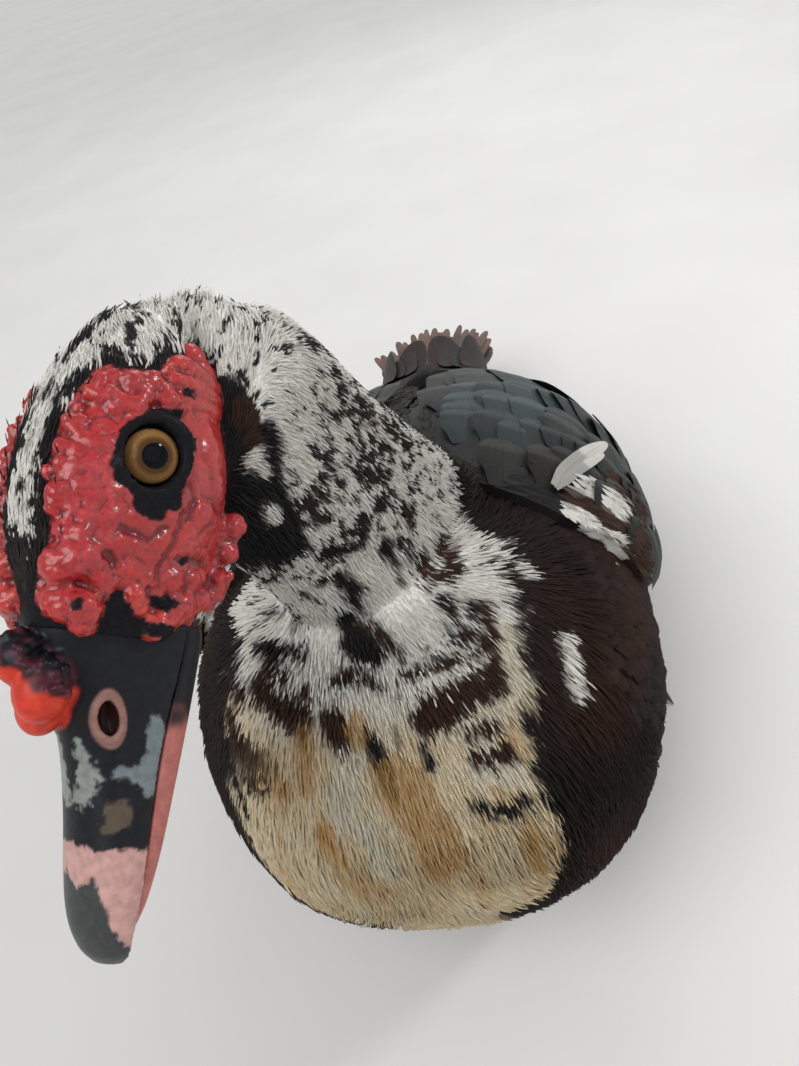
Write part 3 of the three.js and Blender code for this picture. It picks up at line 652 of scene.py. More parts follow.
# Bare red skin: strokes seen in the picture on the left side of the head, each from one pixel to another, x and y,
# with its radius and its height over the skin in millimetres. The right side of the head has their mirror image.
caruncles = {
    "strokes": [
        (199, 350, 225, 368, 3.3, 3.6), (184, 362, 223, 388, 2.9, 3.1), (180, 378, 222, 401, 2.4, 2.3),
        (187, 400, 224, 414, 2.7, 1.4), (171, 367, 172, 368, 1.8, 2.5), (135, 378, 136, 380, 3.1, 3.6),
        (155, 377, 157, 380, 2.8, 3.4), (147, 392, 148, 394, 2.5, 2.6), (168, 389, 173, 398, 3.0, 3.0),
        (178, 402, 182, 407, 2.2, 1.8), (124, 399, 140, 402, 2.7, 2.3), (116, 404, 119, 406, 2.3, 1.8),
        (113, 372, 114, 373, 2.0, 2.8), (104, 376, 105, 377, 2.0, 2.6), (99, 384, 100, 385, 1.8, 2.2),
        (87, 389, 88, 391, 1.9, 2.4), (112, 387, 113, 388, 1.9, 2.2), (98, 394, 99, 396, 1.7, 1.9),
        (107, 393, 108, 395, 1.7, 1.9), (76, 406, 77, 407, 1.4, 1.8), (67, 419, 69, 420, 2.1, 2.5),
        (82, 417, 84, 418, 1.6, 1.6), (75, 429, 77, 431, 1.9, 1.9), (58, 444, 60, 446, 2.3, 2.7),
        (75, 449, 77, 450, 1.7, 1.3), (58, 462, 59, 464, 2.2, 2.4), (66, 474, 67, 476, 1.7, 1.5),
        (53, 491, 55, 493, 3.1, 3.5), (51, 505, 54, 507, 2.5, 2.6), (68, 508, 72, 510, 2.5, 1.7),
        (60, 529, 80, 532, 2.9, 2.4), (44, 470, 45, 472, 1.5, 1.8), (75, 437, 105, 440, 6.0, 1.1),
        (72, 462, 104, 466, 6.5, 1.3), (74, 487, 108, 493, 6.5, 1.3), (84, 512, 120, 520, 6.0, 1.1),
        (92, 537, 135, 546, 6.0, 0.9), (211, 429, 222, 489, 8.0, 0.8), (204, 514, 224, 539, 6.0, 0.9),
        (219, 562, 221, 566, 4.0, 0.9), (54, 566, 82, 556, 4.6, 4.3), (53, 603, 80, 610, 4.6, 4.2),
        (94, 569, 107, 583, 3.8, 2.3), (82, 625, 84, 626, 3.4, 3.0), (139, 596, 143, 608, 2.7, 2.3),
        (160, 630, 166, 626, 3.6, 3.4), (180, 615, 190, 610, 4.8, 3.5), (203, 604, 206, 602, 3.4, 3.0),
        (197, 583, 202, 580, 3.8, 1.7), (172, 585, 178, 582, 3.6, 1.4), (222, 584, 226, 580, 3.0, 1.6),
        (128, 572, 150, 580, 4.4, 1.1), (249, 529, 250, 530, 3.8, 6.2), (235, 551, 237, 552, 3.0, 4.2),
        (253, 558, 255, 559, 3.5, 5.6), (256, 591, 240, 600, 3.5, 5.0), (267, 586, 268, 587, 1.3, 6.0),
        (234, 614, 235, 615, 2.2, 3.2),
    ],
    "creases": [  # lines pressed into the skin and darkened with painted shade
        [88, 538, 100, 547, 112, 560, 110, 586], [186, 512, 174, 545, 158, 572, 146, 590], [180, 558, 206, 564],
        [228, 500, 230, 540, 226, 590], [40, 582, 66, 586, 92, 590], [186, 470, 196, 500, 190, 520],
        [122, 528, 150, 540, 168, 528],
    ],
    "creaseWidth": 0.5, "creaseDepth": 0.75,
    "cells": (2.2, 4.0),  # spacing of the pebbles of the skin towards its borders and on its plates
    "cellDepth": (0.42, 0.30),
}
eye = {
    "forward": 2.0, "out": 13.5, "up": 0.9, "radius": 8.5, "opening": 6.7, "floor": 3.0, "iris": 6.4, "pupil": 3.0,
    "raise": 20, "ahead": 9,  # turn its look up and forwards, in degrees
}
lid = {"radius": 8.2, "thick": 1.9, "out": 6.5, "long": 1.1}

# Outlines on the head as seen in the picture, in pixels x, y, x, y
zones = {
    "bare": [
        187, 349, 200, 340, 211, 339, 229, 351, 232, 365, 229, 389, 229, 409, 231, 430, 234, 460, 237, 490, 243, 508,
        264, 520, 270, 545, 274, 580, 262, 608, 229, 626, 211, 613, 189, 632, 159, 648, 147, 621, 132, 611, 107, 601,
        92, 623, 70, 636, 44, 622, 34, 601, 34, 569, 45, 551, 50, 529, 40, 500, 46, 482, 49, 449, 53, 437, 61, 412,
        73, 394, 91, 370, 107, 364, 122, 366, 139, 368, 152, 368, 163, 371, 165, 362, 174, 360, 178, 354,
    ],
    "eyeBlack": [
        111, 464, 117, 444, 132, 424, 147, 409, 159, 409, 180, 411, 181, 429, 185, 437, 197, 439, 198, 449, 189, 453,
        183, 457, 183, 474, 185, 509, 174, 511, 169, 506, 165, 521, 157, 521, 139, 514, 134, 504, 129, 489, 112, 479,
    ],
    "gape": [107, 603, 111, 592, 122, 591, 133, 612, 148, 622, 158, 649, 120, 660, 96, 630],
    "jaw": [211, 614, 214, 602, 227, 600, 232, 626, 236, 650, 200, 650],
    "spotOne": [75, 602, 84, 601, 86, 611, 77, 613],
    "spotTwo": [152, 597, 168, 596, 172, 603, 160, 611, 151, 606],
    "spotThree": [183, 388, 190, 391, 191, 400, 182, 398],
    "spotFour": [179, 560, 196, 555, 194, 562, 182, 568],
}


def skullShape(grow=0.0):
    share = np.linspace(0.01, 1, head["rings"]) ** 1.2
    forward = mixed(head["stations"][0][0], head["stations"][-1][0], share)
    angles = circle(head["sides"])
    return loft([skullPoint(np.full(len(angles), f), angles, grow) for f in forward])


def surfaceOf(points, faces):
    return BVHTree.FromPolygons([Vector(p) for p in points], faces)


nape = {"at": (-28.4, -105, 308), "sink": 8.0, "size": 9.5}  # rounds off the dip between neck and crown
skullPoints, skullFaces = skullShape(0.3)
skullOnly = surfaceOf(inHead(skullPoints), skullFaces)
skullAndNape = [(inHead(skullPoints), skullFaces), neckShape(-neck["coatDepth"], *neck["inHead"])]
skullSurface = surfaceOf(*joined(skullAndNape))


def photoPlace(points):
    off = np.atleast_2d(points) - view["place"]
    depth = off @ viewGaze
    width, height = view["picture"]
    return stacked(width / 2 + focal * (off @ viewRight) / depth, height / 2 - focal * (off @ viewUp) / depth)


# The place on the skull under a bulb whose top is seen at a pixel
def bulbRoot(pixel, height):
    aim = np.array(pixel, float)
    for _ in range(3):
        point, out = seen(aim, skullOnly)
        aim = aim + 0.8 * (np.array(pixel) - photoPlace(point + out * 0.7 * height)[0])
    return point, out


def bulbChain(ends, radius, height):
    first, last = (bulbRoot(pixel, height)[0] for pixel in pairs(ends))
    count = max(1, int(np.linalg.norm(last - first) / (0.35 * radius)) + 1)
    balls = []
    for k in range(count):
        s = k / max(count - 1, 1)
        near, out, _, _ = skullOnly.find_nearest(Vector(mixed(first, last, s)))
        size = radius * (1 + 0.06 * math.sin(9 * s + first[0]))
        balls.append((np.array(near) + np.array(out) * (height - radius), size))
    return balls


bulbs = [ball for *ends, radius, height in caruncles["strokes"] for ball in bulbChain(ends, radius, height)]
bulbCentres = toHead([centre for centre, _ in bulbs])


# Distance to the nearest bulb's own surface, negative inside
def bulbGap(local):
    folded = onLeft(local)
    gap = np.full(len(local), 99.0)
    near = np.nonzero(lengths(local) < 70)[0]
    for centre, (_, radius) in zip(bulbCentres, bulbs):
        gap[near] = np.minimum(gap[near], lengths(folded[near] - centre) - radius)
    return gap


def mirrored(points):
    local = toHead(points)
    local[..., 1] *= -1
    return inHead(local)


# The eye's own axes in the head's frame: across it forwards, out along its look, and up
def eyeAxes(side):
    tilt, ahead = math.radians(eye["raise"]), math.radians(eye["ahead"])
    look = np.array([math.sin(ahead), side * math.cos(ahead) * math.cos(tilt), math.cos(ahead) * math.sin(tilt)])
    along = unit(np.array([1.0, 0, 0]) - look * look[0])
    return np.array([along, look, unit(np.cross(along, look)) * side])


def eyeCentre(side):
    return np.array([eye["forward"], side * eye["out"], eye["up"]])


def fromEye(points, side):
    return points @ eyeAxes(side) + eyeCentre(side)


# Distance from the line of the look, as for a round lid
def lidReach(inEye):
    return np.hypot(inEye[:, 0] / lid["long"], inEye[:, 2])


# Places near an eye, in its own axes: x forwards, y out, z up
def toEye(local):
    side = np.where(local[:, 1] > 0, 1, -1)
    made = np.empty_like(local)
    for way in (1, -1):
        chosen = side == way
        made[chosen] = (local[chosen] - eyeCentre(way)) @ eyeAxes(way).T
    return made


def lidRing(side, turns=44, sides=12):
    points = []
    around = circle(sides)[:, None]
    for turn in circle(turns):
        way = np.array([math.cos(turn) * lid["long"], 0, math.sin(turn)])
        swell = lid["thick"] * (1 + 0.18 * math.cos(turn) + 0.12 * math.sin(2 * turn))
        section = swell * (np.cos(around) * unit(way) * 1.15 + np.sin(around) * np.array([0, 1.0, 0]))
        points.append(way * lid["radius"] + np.array([0, lid["out"], 0]) + section)
    return inHead(fromEye(np.vstack(points), side)), ringFaces(turns, sides, turns)


def headSkin():
    rng = np.random.default_rng(12)
    parts = [(inHead(skullShape()[0]), skullFaces), neckShape(-neck["coatDepth"] - 0.8, *neck["inHead"])]
    for centre, radius in bulbs:
        parts.append(ballPart(centre, [radius] * 3))
        parts.append(ballPart(mirrored(centre), [radius * rng.uniform(0.94, 1.06)] * 3))
    parts.append(ballPart(np.array(nape["at"]) - viewUp * nape["sink"], [nape["size"]] * 3))
    parts += [lidRing(1), lidRing(-1)]
    made = remeshed("headSkin", parts, voxels["head"], 3)
    points = verticesOf(made.data)
    local = toHead(points)
    inEye = toEye(local)
    sunk = (lidReach(inEye) < eye["opening"]) & (inEye[:, 1] > 0)
    inEye[:, 1] = np.where(sunk, np.minimum(inEye[:, 1], eye["floor"]), inEye[:, 1])
    for side in (1, -1):
        chosen = sunk & (local[:, 1] * side > 0)
        local[chosen] = fromEye(inEye[chosen], side)
    moveVertices(made.data, inHead(local))
    wrinkle(made.data)
    return made


# Pebbles, creases and pores pressed into the bare skin, and how much painted shade their grooves get in the skin's
# colour
def wrinkle(mesh):
    points = verticesOf(mesh)
    normals = normalsOf(mesh)
    local = toHead(points)
    gap = bareGap(local)
    inEye = toEye(local)
    bare = ease(0.6, -0.8, gap) * ease(9.2, 10.2, np.where(inEye[:, 1] > 0, lidReach(inEye), 20))
    border = ease(-3, -9, gap)
    folded = onLeft(local)
    cheek = ease(9, 2, folded[:, 0]) * ease(-2, -9, folded[:, 2])
    triangles = trianglesOf(mesh)
    spacing = mixed(*caruncles["cells"], border) * (bare > 0)
    seeds = toHead(scatter(points, normals, triangles, spacing[triangles].min(axis=1), 14)[0])
    stretch = np.array([1.35, 1, 1])
    grid = KDTree(len(seeds))
    for i, place in enumerate(seeds):
        grid.insert(place * stretch, i)
    grid.balance()
    warp = stacked(*(grain(local, 3.2, 81 + k) for k in range(3))) * 0.7
    height = np.zeros(len(points))
    for i in np.nonzero(bare > 0.01)[0]:
        (_, _, first), (_, _, second) = grid.find_n((local[i] + warp[i]) * stretch, 2)
        height[i] = 1 - math.exp(first - second)
    depth = mixed(*caruncles["cellDepth"], border) * (1 - 0.72 * cheek)
    fine = 0.10 * grain(local * (1.6, 1, 1), 1.1, 3) + 0.16 * grain(local * (1.7, 1, 1), 2.6, 4) * (1 - 0.6 * cheek)
    press = np.zeros(len(points))
    for line in caruncles["creases"]:
        corners = [toHead(seen(pixel, skullSurface)[0]) for pixel in pairs(line)]
        away = strokeGap(folded + 0.4 * warp, corners)
        press = np.maximum(press, np.exp(-(away / (2.2 * caruncles["creaseWidth"])) ** 2))
    moved = bare * (depth * (height - 1) + fine - caruncles["creaseDepth"] * press)
    moveVertices(mesh, points + normals * moved[:, None])
    # Painted shade: how much the grooves between the pebbles and the pressed creases are darkened in the skin's colour
    setAttribute(mesh, "creaseShade", bare * np.clip(0.45 * (1 - height) + 0.9 * press, 0, 1))


def strokeGap(points, corners):
    gap = np.full(len(points), 1e9)
    for a, b in zip(corners[:-1], corners[1:]):
        edge = b - a
        s = np.clip(((points - a) @ edge) / (edge @ edge), 0, 1)
        gap = np.minimum(gap, lengths(points - a - s[:, None] * edge))
    return gap


# The outline of a zone in forward and angle, read from where its corners are seen on the skull
zoneCache = {}


def zonePolygon(name):
    if name not in zoneCache:
        corners = np.array([seen(pixel, skullSurface)[0] for pixel in pairs(zones[name])])
        zoneCache[name] = stacked(*skullPlace(toHead(corners)))
    return zoneCache[name]


angleScale = 0.37  # millimetres of skin for each degree round the skull


# Distance in millimetres to a polygon's edge, negative inside
def polygonGap(places, polygon, scale=(1, angleScale)):
    q = places * scale
    corners = np.vstack([polygon, polygon[:1]]) * scale
    inside = np.zeros(len(q), bool)
    for a, b in zip(corners[:-1], corners[1:]):
        edge = b - a
        crosses = (a[1] > q[:, 1]) != (b[1] > q[:, 1])
        level = a[0] + (q[:, 1] - a[1]) / (edge[1] if abs(edge[1]) > 1e-9 else 1e-9) * edge[0]
        inside ^= crosses & (q[:, 0] < level)
    return strokeGap(q, corners) * np.where(inside, -1, 1)


def headZone(local, name):
    return polygonGap(stacked(*skullPlace(local)), zonePolygon(name))


# Distance to the edge of the bare skin, negative inside. Bulbs that lean over the edge belong to it.
def bareGap(local):
    raised = overSkull(local)
    onBulb = bulbGap(local)
    gap = np.where(raised > 4.5, 9.0, headZone(local, "bare"))
    return np.where((raised > 0.5) | (onBulb < 0), np.minimum(gap, 3.0 * (onBulb - 0.35)), gap)


# Markings
bodySurface = surfaceOf(*joined([torsoShape(0), neckShape(0, neck["inBody"][0], neck["inHead"][1]), skullAndNape[0]]))

# Blotches of the coat as seen in the picture: tone, half width in millimetres, pixels along it as x, y, x, y
blotches = [
    ("white", 10.0, 372, 566, 392, 590, 420, 616, 438, 640), ("white", 4.5, 424, 512, 434, 540),
    ("white", 2.6, 460, 548, 468, 564), ("white", 3.4, 466, 570, 476, 596),
    ("white", 3.2, 484, 578, 494, 600, 492, 628), ("ivory", 6.0, 505, 640, 508, 676, 492, 712, 476, 742),
    ("ivory", 5.4, 484, 776, 512, 776), ("white", 5.0, 280, 592, 318, 596), ("white", 4.0, 262, 626, 280, 630),
    ("white", 7.0, 318, 640, 322, 668), ("white", 3.6, 270, 664, 296, 668),
    ("ivory", 6.0, 352, 756, 346, 790, 342, 822), ("ivory", 6.0, 366, 830, 388, 868),
    ("grey", 3.4, 280, 566, 300, 574, 322, 584), ("grey", 2.2, 258, 606, 282, 612),
    ("black", 1.9, 328, 556, 346, 553, 366, 545), ("black", 2.9, 338, 578, 350, 588, 364, 594),
    ("black", 2.2, 353, 598, 362, 610), ("grey", 1.7, 372, 580, 378, 586), ("black", 2.6, 292, 620, 308, 624),
    ("grey", 2.1, 310, 620, 346, 620), ("black", 2.6, 250, 646, 270, 652, 298, 650),
    ("black", 4.6, 346, 636, 358, 646, 372, 652), ("brown", 2.2, 374, 622, 384, 640, 396, 650),
    ("black", 2.9, 386, 546, 396, 566, 404, 584), ("grey", 1.5, 396, 594, 401, 599),
    ("brown", 2.2, 408, 512, 414, 526), ("black", 2.9, 402, 544, 414, 560), ("brown", 3.4, 424, 558, 436, 572),
    ("brown", 2.8, 448, 534, 453, 568), ("black", 2.6, 445, 598, 455, 618), ("grey", 3.1, 442, 624, 453, 640),
    ("black", 1.7, 472, 600, 476, 620), ("brown", 3.1, 464, 628, 488, 640),
    ("grey", 4.3, 404, 660, 430, 654, 458, 648), ("brown", 1.8, 300, 596, 318, 606),
    ("grey", 3.4, 346, 628, 372, 654), ("brown", 2.6, 446, 700, 470, 690, 492, 672),
    ("brown", 2.4, 486, 604, 494, 634), ("brown", 2.2, 498, 660, 504, 690), ("brown", 2.2, 262, 668, 282, 676),
    ("brown", 2.0, 300, 690, 306, 712), ("brown", 2.0, 466, 738, 500, 726),
    ("brown", 2.1, 404, 676, 440, 664, 478, 652), ("brown", 3.1, 226, 668, 234, 700),
    ("brown", 3.1, 224, 716, 233, 744), ("brown", 5.5, 254, 690, 272, 704, 296, 716),
    ("brown", 2.8, 332, 680, 350, 676), ("brown", 1.9, 356, 676, 378, 688, 398, 694),
    ("brown", 4.3, 328, 716, 338, 742), ("black", 1.7, 293, 730, 298, 746), ("brown", 2.2, 244, 790, 264, 792),
    ("black", 2.1, 275, 780, 281, 796), ("grey", 1.5, 326, 780, 330, 816),
    ("black", 3.1, 370, 744, 380, 768, 391, 798), ("black", 1.5, 395, 730, 398, 746),
    ("brown", 6.0, 484, 684, 456, 702, 428, 722), ("black", 2.1, 422, 748, 430, 766),
    ("brown", 2.6, 476, 762, 508, 756), ("black", 3.1, 482, 808, 504, 812, 526, 806),
    ("black", 1.0, 268, 824, 288, 850, 308, 876), ("black", 1.9, 214, 716, 226, 770, 246, 816),
    ("ochre", 4.0, 300, 740, 304, 790), ("ochre", 9.0, 398, 786, 424, 822, 446, 856),
    ("ochre", 4.4, 326, 830, 340, 860), ("ochre", 3.0, 352, 724, 356, 742),
    ("white", 3.0, 574, 640, 581, 668, 583, 692), ("white", 2.2, 524, 558, 534, 568),
    ("white", 1.4, 466, 518, 478, 521),
]
headBlotches = [
    ("black", 2.8, 46, 392, 64, 358, 84, 336), ("black", 3.0, 84, 336, 104, 316, 130, 303),
    ("black", 2.4, 128, 304, 150, 297, 176, 293, 202, 295),
    ("white", 2.2, 30, 446, 52, 402, 86, 368, 116, 346, 146, 326, 186, 312), ("black", 1.6, 94, 352, 99, 380),
    ("black", 2.0, 112, 330, 124, 324), ("black", 2.2, 60, 392, 48, 430, 44, 470, 42, 520),
    ("black", 1.6, 32, 440, 14, 500), ("white", 1.9, 62, 368, 42, 420, 26, 470, 24, 518),
    ("black", 5.5, 232, 392, 242, 424, 246, 462), ("brown", 4.2, 246, 412, 258, 444),
    ("black", 7.0, 240, 470, 252, 510, 262, 552), ("black", 6.0, 268, 488, 280, 520, 290, 556),
    ("black", 8.0, 226, 590, 236, 630), ("black", 2.6, 272, 430, 278, 470), ("white", 1.5, 248, 470, 262, 452),
    ("white", 1.5, 262, 468, 268, 474), ("white", 1.7, 274, 512, 278, 524),
]


def strokeLines(strokes):
    return [(name, [seen(pixel, bodySurface)[0] for pixel in pairs(pixels)], width) for name, width, *pixels in strokes]


bodyStrokes = strokeLines(blotches)
headStrokes = strokeLines(headBlotches)

# Where the pale breast ends on each flank: place along the torso, angle up from that side
paleEdge = {
    "left": [
        0.2, -170, 0.45, -60, 0.7, -4, 0.91, 19, 1.08, 41, 1.66, 55, 2.14, 60, 2.83, 66, 3.45, 73, 3.9, 90, 4.3, 115,
    ],
    "right": [
        0.2, -170, 0.55, -70, 0.9, -20, 1.36, 14, 2.0, 38, 2.94, 60, 3.5, 74, 3.9, 90, 4.3, 115,
    ],
}
bars = {"start": 52, "end": 104, "spacing": 17.0, "creamStart": 66, "creamEnd": 92}


# Angles round the torso, as angles up from the nearer side
def fromSide(angle):
    return np.where(np.abs(angle) > 90, np.sign(angle) * 180 - angle, angle)


def painted(colours, name, share):
    return mixed(colours, tone[name], np.clip(share, 0, 1)[:, None])


# The colour of the coat, and of the skin under it, at any points of the body, neck and crown
def coatTone(points):
    points = np.asarray(points, float)
    place, angle = torsoPlace(points)
    fold = fromSide(angle)
    neckT, neckShare = neckPlace(points)
    local = toHead(points)
    onHead = (lengths(local) < 62) & (neckT > 4.4)
    fromNeck = lengths(points - neck["base"])
    coarse, middle, small = grain(points, 26, 1), grain(points, 9, 2), grain(points, 3.2, 3)
    tiny = grain(points, 1.7, 11)
    colours = np.tile(tone["white"], (len(points), 1)) * (1 + 0.06 * middle)[:, None]
    cream = ease(bars["creamStart"], bars["creamEnd"], fromNeck + 9 * coarse) * ~onHead
    colours = painted(colours, "cream", cream)
    streak = grain(points * (1, 1, 0.22), 3.2, 12)
    colours = painted(colours, "ochre", cream * (0.5 * ease(0.15, 0.6, grain(points * (1, 1, 0.3), 11, 5)) +
                                                 0.35 * ease(0.1, 0.7, streak)))
    colours = painted(colours, "ivory", 0.5 * cream * ease(-0.1, -0.6, streak))
    hidden = ease(-34, -56, points[:, 0] + 4 * middle)
    wave = np.sin(2 * math.pi * (fromNeck + 4.5 * coarse + 2.5 * middle) / bars["spacing"])
    reach = ease(bars["start"] - 8, bars["start"], fromNeck) * ease(bars["end"], bars["end"] - 16, fromNeck)
    barred = ease(0.75, 1.0, wave + 1.3 * grain(points, 15, 6)) * reach * hidden
    colours = painted(colours, "brown", barred * 0.95)
    edges = (np.interp(place, *pairs(paleEdge[side]).T) for side in ("left", "right"))
    edgeAt = np.where(points[:, 0] > 0, *edges)
    dark = ease(-4, 4, edgeAt - fold + 6 * middle + 5 * small) * ((neckT < 2.2) | (neckShare > 1.3))
    belly = ease(-62, -72, fold + 6 * coarse) * ease(8.2, 6.5, place)
    flank = mixed(tone["black"], tone["brown"], np.clip(0.5 + 0.7 * coarse, 0, 1)[:, None])
    colours = mixed(colours, flank, dark[:, None])
    colours = painted(colours, "cream", belly * dark * ease(-0.35, 0.1, grain(points, 30, 8)))
    rump = ease(7.6, 9.2, place) * (fold > 0)
    colours = painted(colours, "rust", rump * 0.5 * ease(-0.2, 0.5, small))
    onNeck = ease(1.5, 2.2, neckT) * ((neckShare < 1.6) | onHead) * (1 - dark)
    white = painted(colours, "white", onNeck)
    share = np.interp(neckT - collar(points), [-0.9, -0.1, 0.2, 0.6, 1.1, 1.7, 2.2],
                      [0, 0.10, 0.45, 0.58, 0.55, 0.42, 0.28])
    share = np.minimum(share, np.interp(neckT, [4.6, 5.2, 5.8], [0.5, 0.24, 0.1]))
    share = np.where(onHead, np.interp(local[:, 0], [-36, -8, 12, 24, 30], [0.10, 0.10, 0.22, 0.6, 1.2]), share)
    fleck = 0.5 * small + 0.6 * tiny + 0.22 * middle
    pepper = ease(-0.05, 0.07, fleck - 0.85 * (0.5 - share) + 0.10 * coarse) * onNeck
    warmth = np.clip(0.25 + 0.8 * coarse, 0, 1) * np.where(onHead, 0.2, 1)
    ink = mixed(tone["black"], tone["brown"], warmth[:, None])
    colours = mixed(white, ink, (pepper * 0.985)[:, None])
    for name, corners, width in bodyStrokes:
        gap = strokeGap(points, corners)
        share = ease(width + 1.0, width - 0.8, gap + 1.5 * middle + 1.1 * small)
        if name == "grey":
            share = share * 0.9 * ease(-0.06, 0.08, 0.5 * small + 0.6 * tiny)
        colours = painted(colours, "black" if name == "grey" else name, share * (0.7 if name == "ochre" else 1))
    nearHead = (lengths(local) < 75) & (neckT > 4)
    folded = inHead(onLeft(local))
    for name, corners, width in headStrokes:
        gap = strokeGap(folded, corners)
        marked = ease(width + 0.8, width - 0.6, gap + 1.1 * small + 0.8 * middle)
        colours = painted(colours, name, marked * nearHead)
    return colours


# Colour of the bare skin of the head
def skinTone(points, creaseShade):
    local = toHead(points)
    forward, angle = skullPlace(local)
    small, middle, coarse = grain(points, 1.3, 21), grain(points, 4, 22), grain(points, 12, 23)
    colours = np.tile(tone["red"], (len(points), 1))
    lobes = ease(26, 40, forward + 5 * coarse) * ease(20, 0, angle)
    colours = painted(colours, "orange", 0.12 + 0.3 * coarse + 0.6 * lobes)
    colours = painted(colours, "pink", 0.3 * ease(10, 50, angle) * ease(-0.4, 0.4, middle))
    colours = painted(colours, "deepRed", 0.30 * ease(0.0, 0.7, small + 0.5 * middle))
    # Painted shade: the creases, the grooves between the pebbles and the hollows between the bulbs are darkened to deep
    # red
    colours = painted(colours, "deepRed", 0.85 * ease(0.35, 0.95, creaseShade))
    colours = painted(colours, "skinBlack", ease(40.5, 42.0, local[:, 0]) * (bulbGap(local) > 0.1))
    wobble = 0.55 * small + 0.45 * middle
    dark = np.full(len(points), 9.0)
    for name in ("spotOne", "spotTwo", "spotThree", "spotFour", "eyeBlack", "gape", "jaw"):
        dark = np.minimum(dark, headZone(local, name))
    dark = np.minimum(dark, -bareGap(local) - 0.4)
    colours = painted(colours, "skinBlack", ease(0.4, -0.35, dark + wobble))
    inEye = toEye(local)
    colours = painted(colours, "skinBlack", ease(9.3, 9.0, lidReach(inEye) + 0.3 * small) * (inEye[:, 1] > 0))
    return colours


# How much of the skin at each point is bare: the face's red and black skin, without its feathers
def bareOf(points):
    local = toHead(points)
    forward, angle = skullPlace(local)
    gap = np.minimum(bareGap(local), np.minimum(headZone(local, "gape"), headZone(local, "jaw")))
    gap = np.where(overSkull(local) > 9, 9.0, gap)
    face = (forward > 37) | ((forward > 30) & (angle < -50))
    return ((gap < 0) | face) & (forward > -40) & (lengths(local) < 75)


def skinMaterial():
    material, tree, shader = newMaterial("bareAndDownySkin", coatRoughness=0.12, specular=0.5, soft=0.12,
                                         softDepth=0.004)
    place = objectPlace(tree)
    colour = readAttribute(tree, "tone")
    bare = readAttribute(tree, "bare", "Fac")
    speck = noise(tree, place, 900.0, 3.0)
    addMottle(tree, shader, colour, speck, 0.82, 1.12)
    tree.links.new(ramp(tree, bare, 0.0, 1.0, 0.85, 0.34), shader.inputs["Roughness"])
    redness = addNode(tree, "ShaderNodeSeparateXYZ", {0: colour}).outputs[0]
    tree.links.new(ramp(tree, redness, 0.02, 0.25, 0.05, 0.42), shader.inputs["Specular IOR Level"])
    tree.links.new(ramp(tree, sums(tree, "MULTIPLY", bare, redness), 0.02, 0.25, 0.0, 0.35),
                   shader.inputs["Coat Weight"])
    cells = addNode(tree, "ShaderNodeTexVoronoi", {"Vector": place, "Scale": 1100.0}).outputs["Distance"]
    pores = noise(tree, place, 2600.0, 2.0)
    height = sums(tree, "ADD", sums(tree, "MULTIPLY", cells, 0.7), sums(tree, "MULTIPLY", pores, 0.4))
    addBump(tree, shader, height, 0.35, 0.0003)
    return material


# How deep each point lies between its neighbours, in millimetres
def hollowOf(mesh, points, rounds=7):
    a, b = readField(mesh.edges, "vertices", 2, int).T
    number = len(points)
    count = (np.bincount(a, minlength=number) + np.bincount(b, minlength=number))[:, None]
    smooth = points
    for _ in range(rounds):
        sides = smooth.T
        total = stacked(*(np.bincount(a, side[b], number) + np.bincount(b, side[a], number) for side in sides))
        smooth = total / np.maximum(count, 1)
    return np.einsum("ij,ij->i", smooth - points, normalsOf(mesh))


def makeSkin():
    skin = combine(bodySkin(), headSkin(), "UNION")
    skin.name = "skin"
    points = verticesOf(skin.data)
    bare = bareOf(points)
    normals = normalsOf(skin.data)
    neckT, _ = neckPlace(points)
    depth = np.where(neckT > collar(points), neck["coatDepth"], torso["coatDepth"])
    colours = coatTone(points + normals * depth[:, None])
    local = toHead(points)
    rim = ease(3.6, 2.4, np.abs(bareGap(local))) * (lengths(local) < 62)
    colours = painted(colours, "black", rim)
    layer = skin.data.attributes["creaseShade"]
    # Painted shade: the hollows between the bulbs add to the darkening of the creases
    creaseShade = readField(layer.data, "value", 1)[:, 0] + 2.6 * np.clip(hollowOf(skin.data, points), -0.1, 1)
    skin.data.attributes.remove(layer)
    colours[bare] = skinTone(points[bare], creaseShade[bare])
    setAttribute(skin.data, "tone", colours)
    setAttribute(skin.data, "bare", bare.astype(float))
    wear(skin, skinMaterial())
    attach(skin, "root")
    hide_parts("torso", "neck", "head", "thigh_left", "thigh_right")
    return skin


# One closed hair-like strand of length 1 along y and width 1
def strandTemplate(name, seed, thick=0.05, curl=0.12):
    rng = np.random.default_rng(seed)
    bend = rng.uniform(-0.03, 0.03)
    points = [(0, 0, 0)]
    for y, half in ((0.32, 0.5), (0.72, 0.38)):
        drop = -curl * y * y
        points += [(-half, y, drop), (half, y, drop), (bend, y, drop + thick)]
    points.append((bend * 4, 1, -curl))
    faces = [(0, 2, 1), (0, 1, 3), (0, 3, 2), (1, 2, 5, 4), (3, 1, 4, 6), (2, 3, 6, 5), (4, 5, 7), (6, 4, 7), (5, 6, 7)]
    made = meshObject(name, points, faces, inScene=False)
    outwards(made.data)
    setAttribute(made.data, "vane", np.array([(2 * x, y, 0) for x, y, _ in points]))
    return made


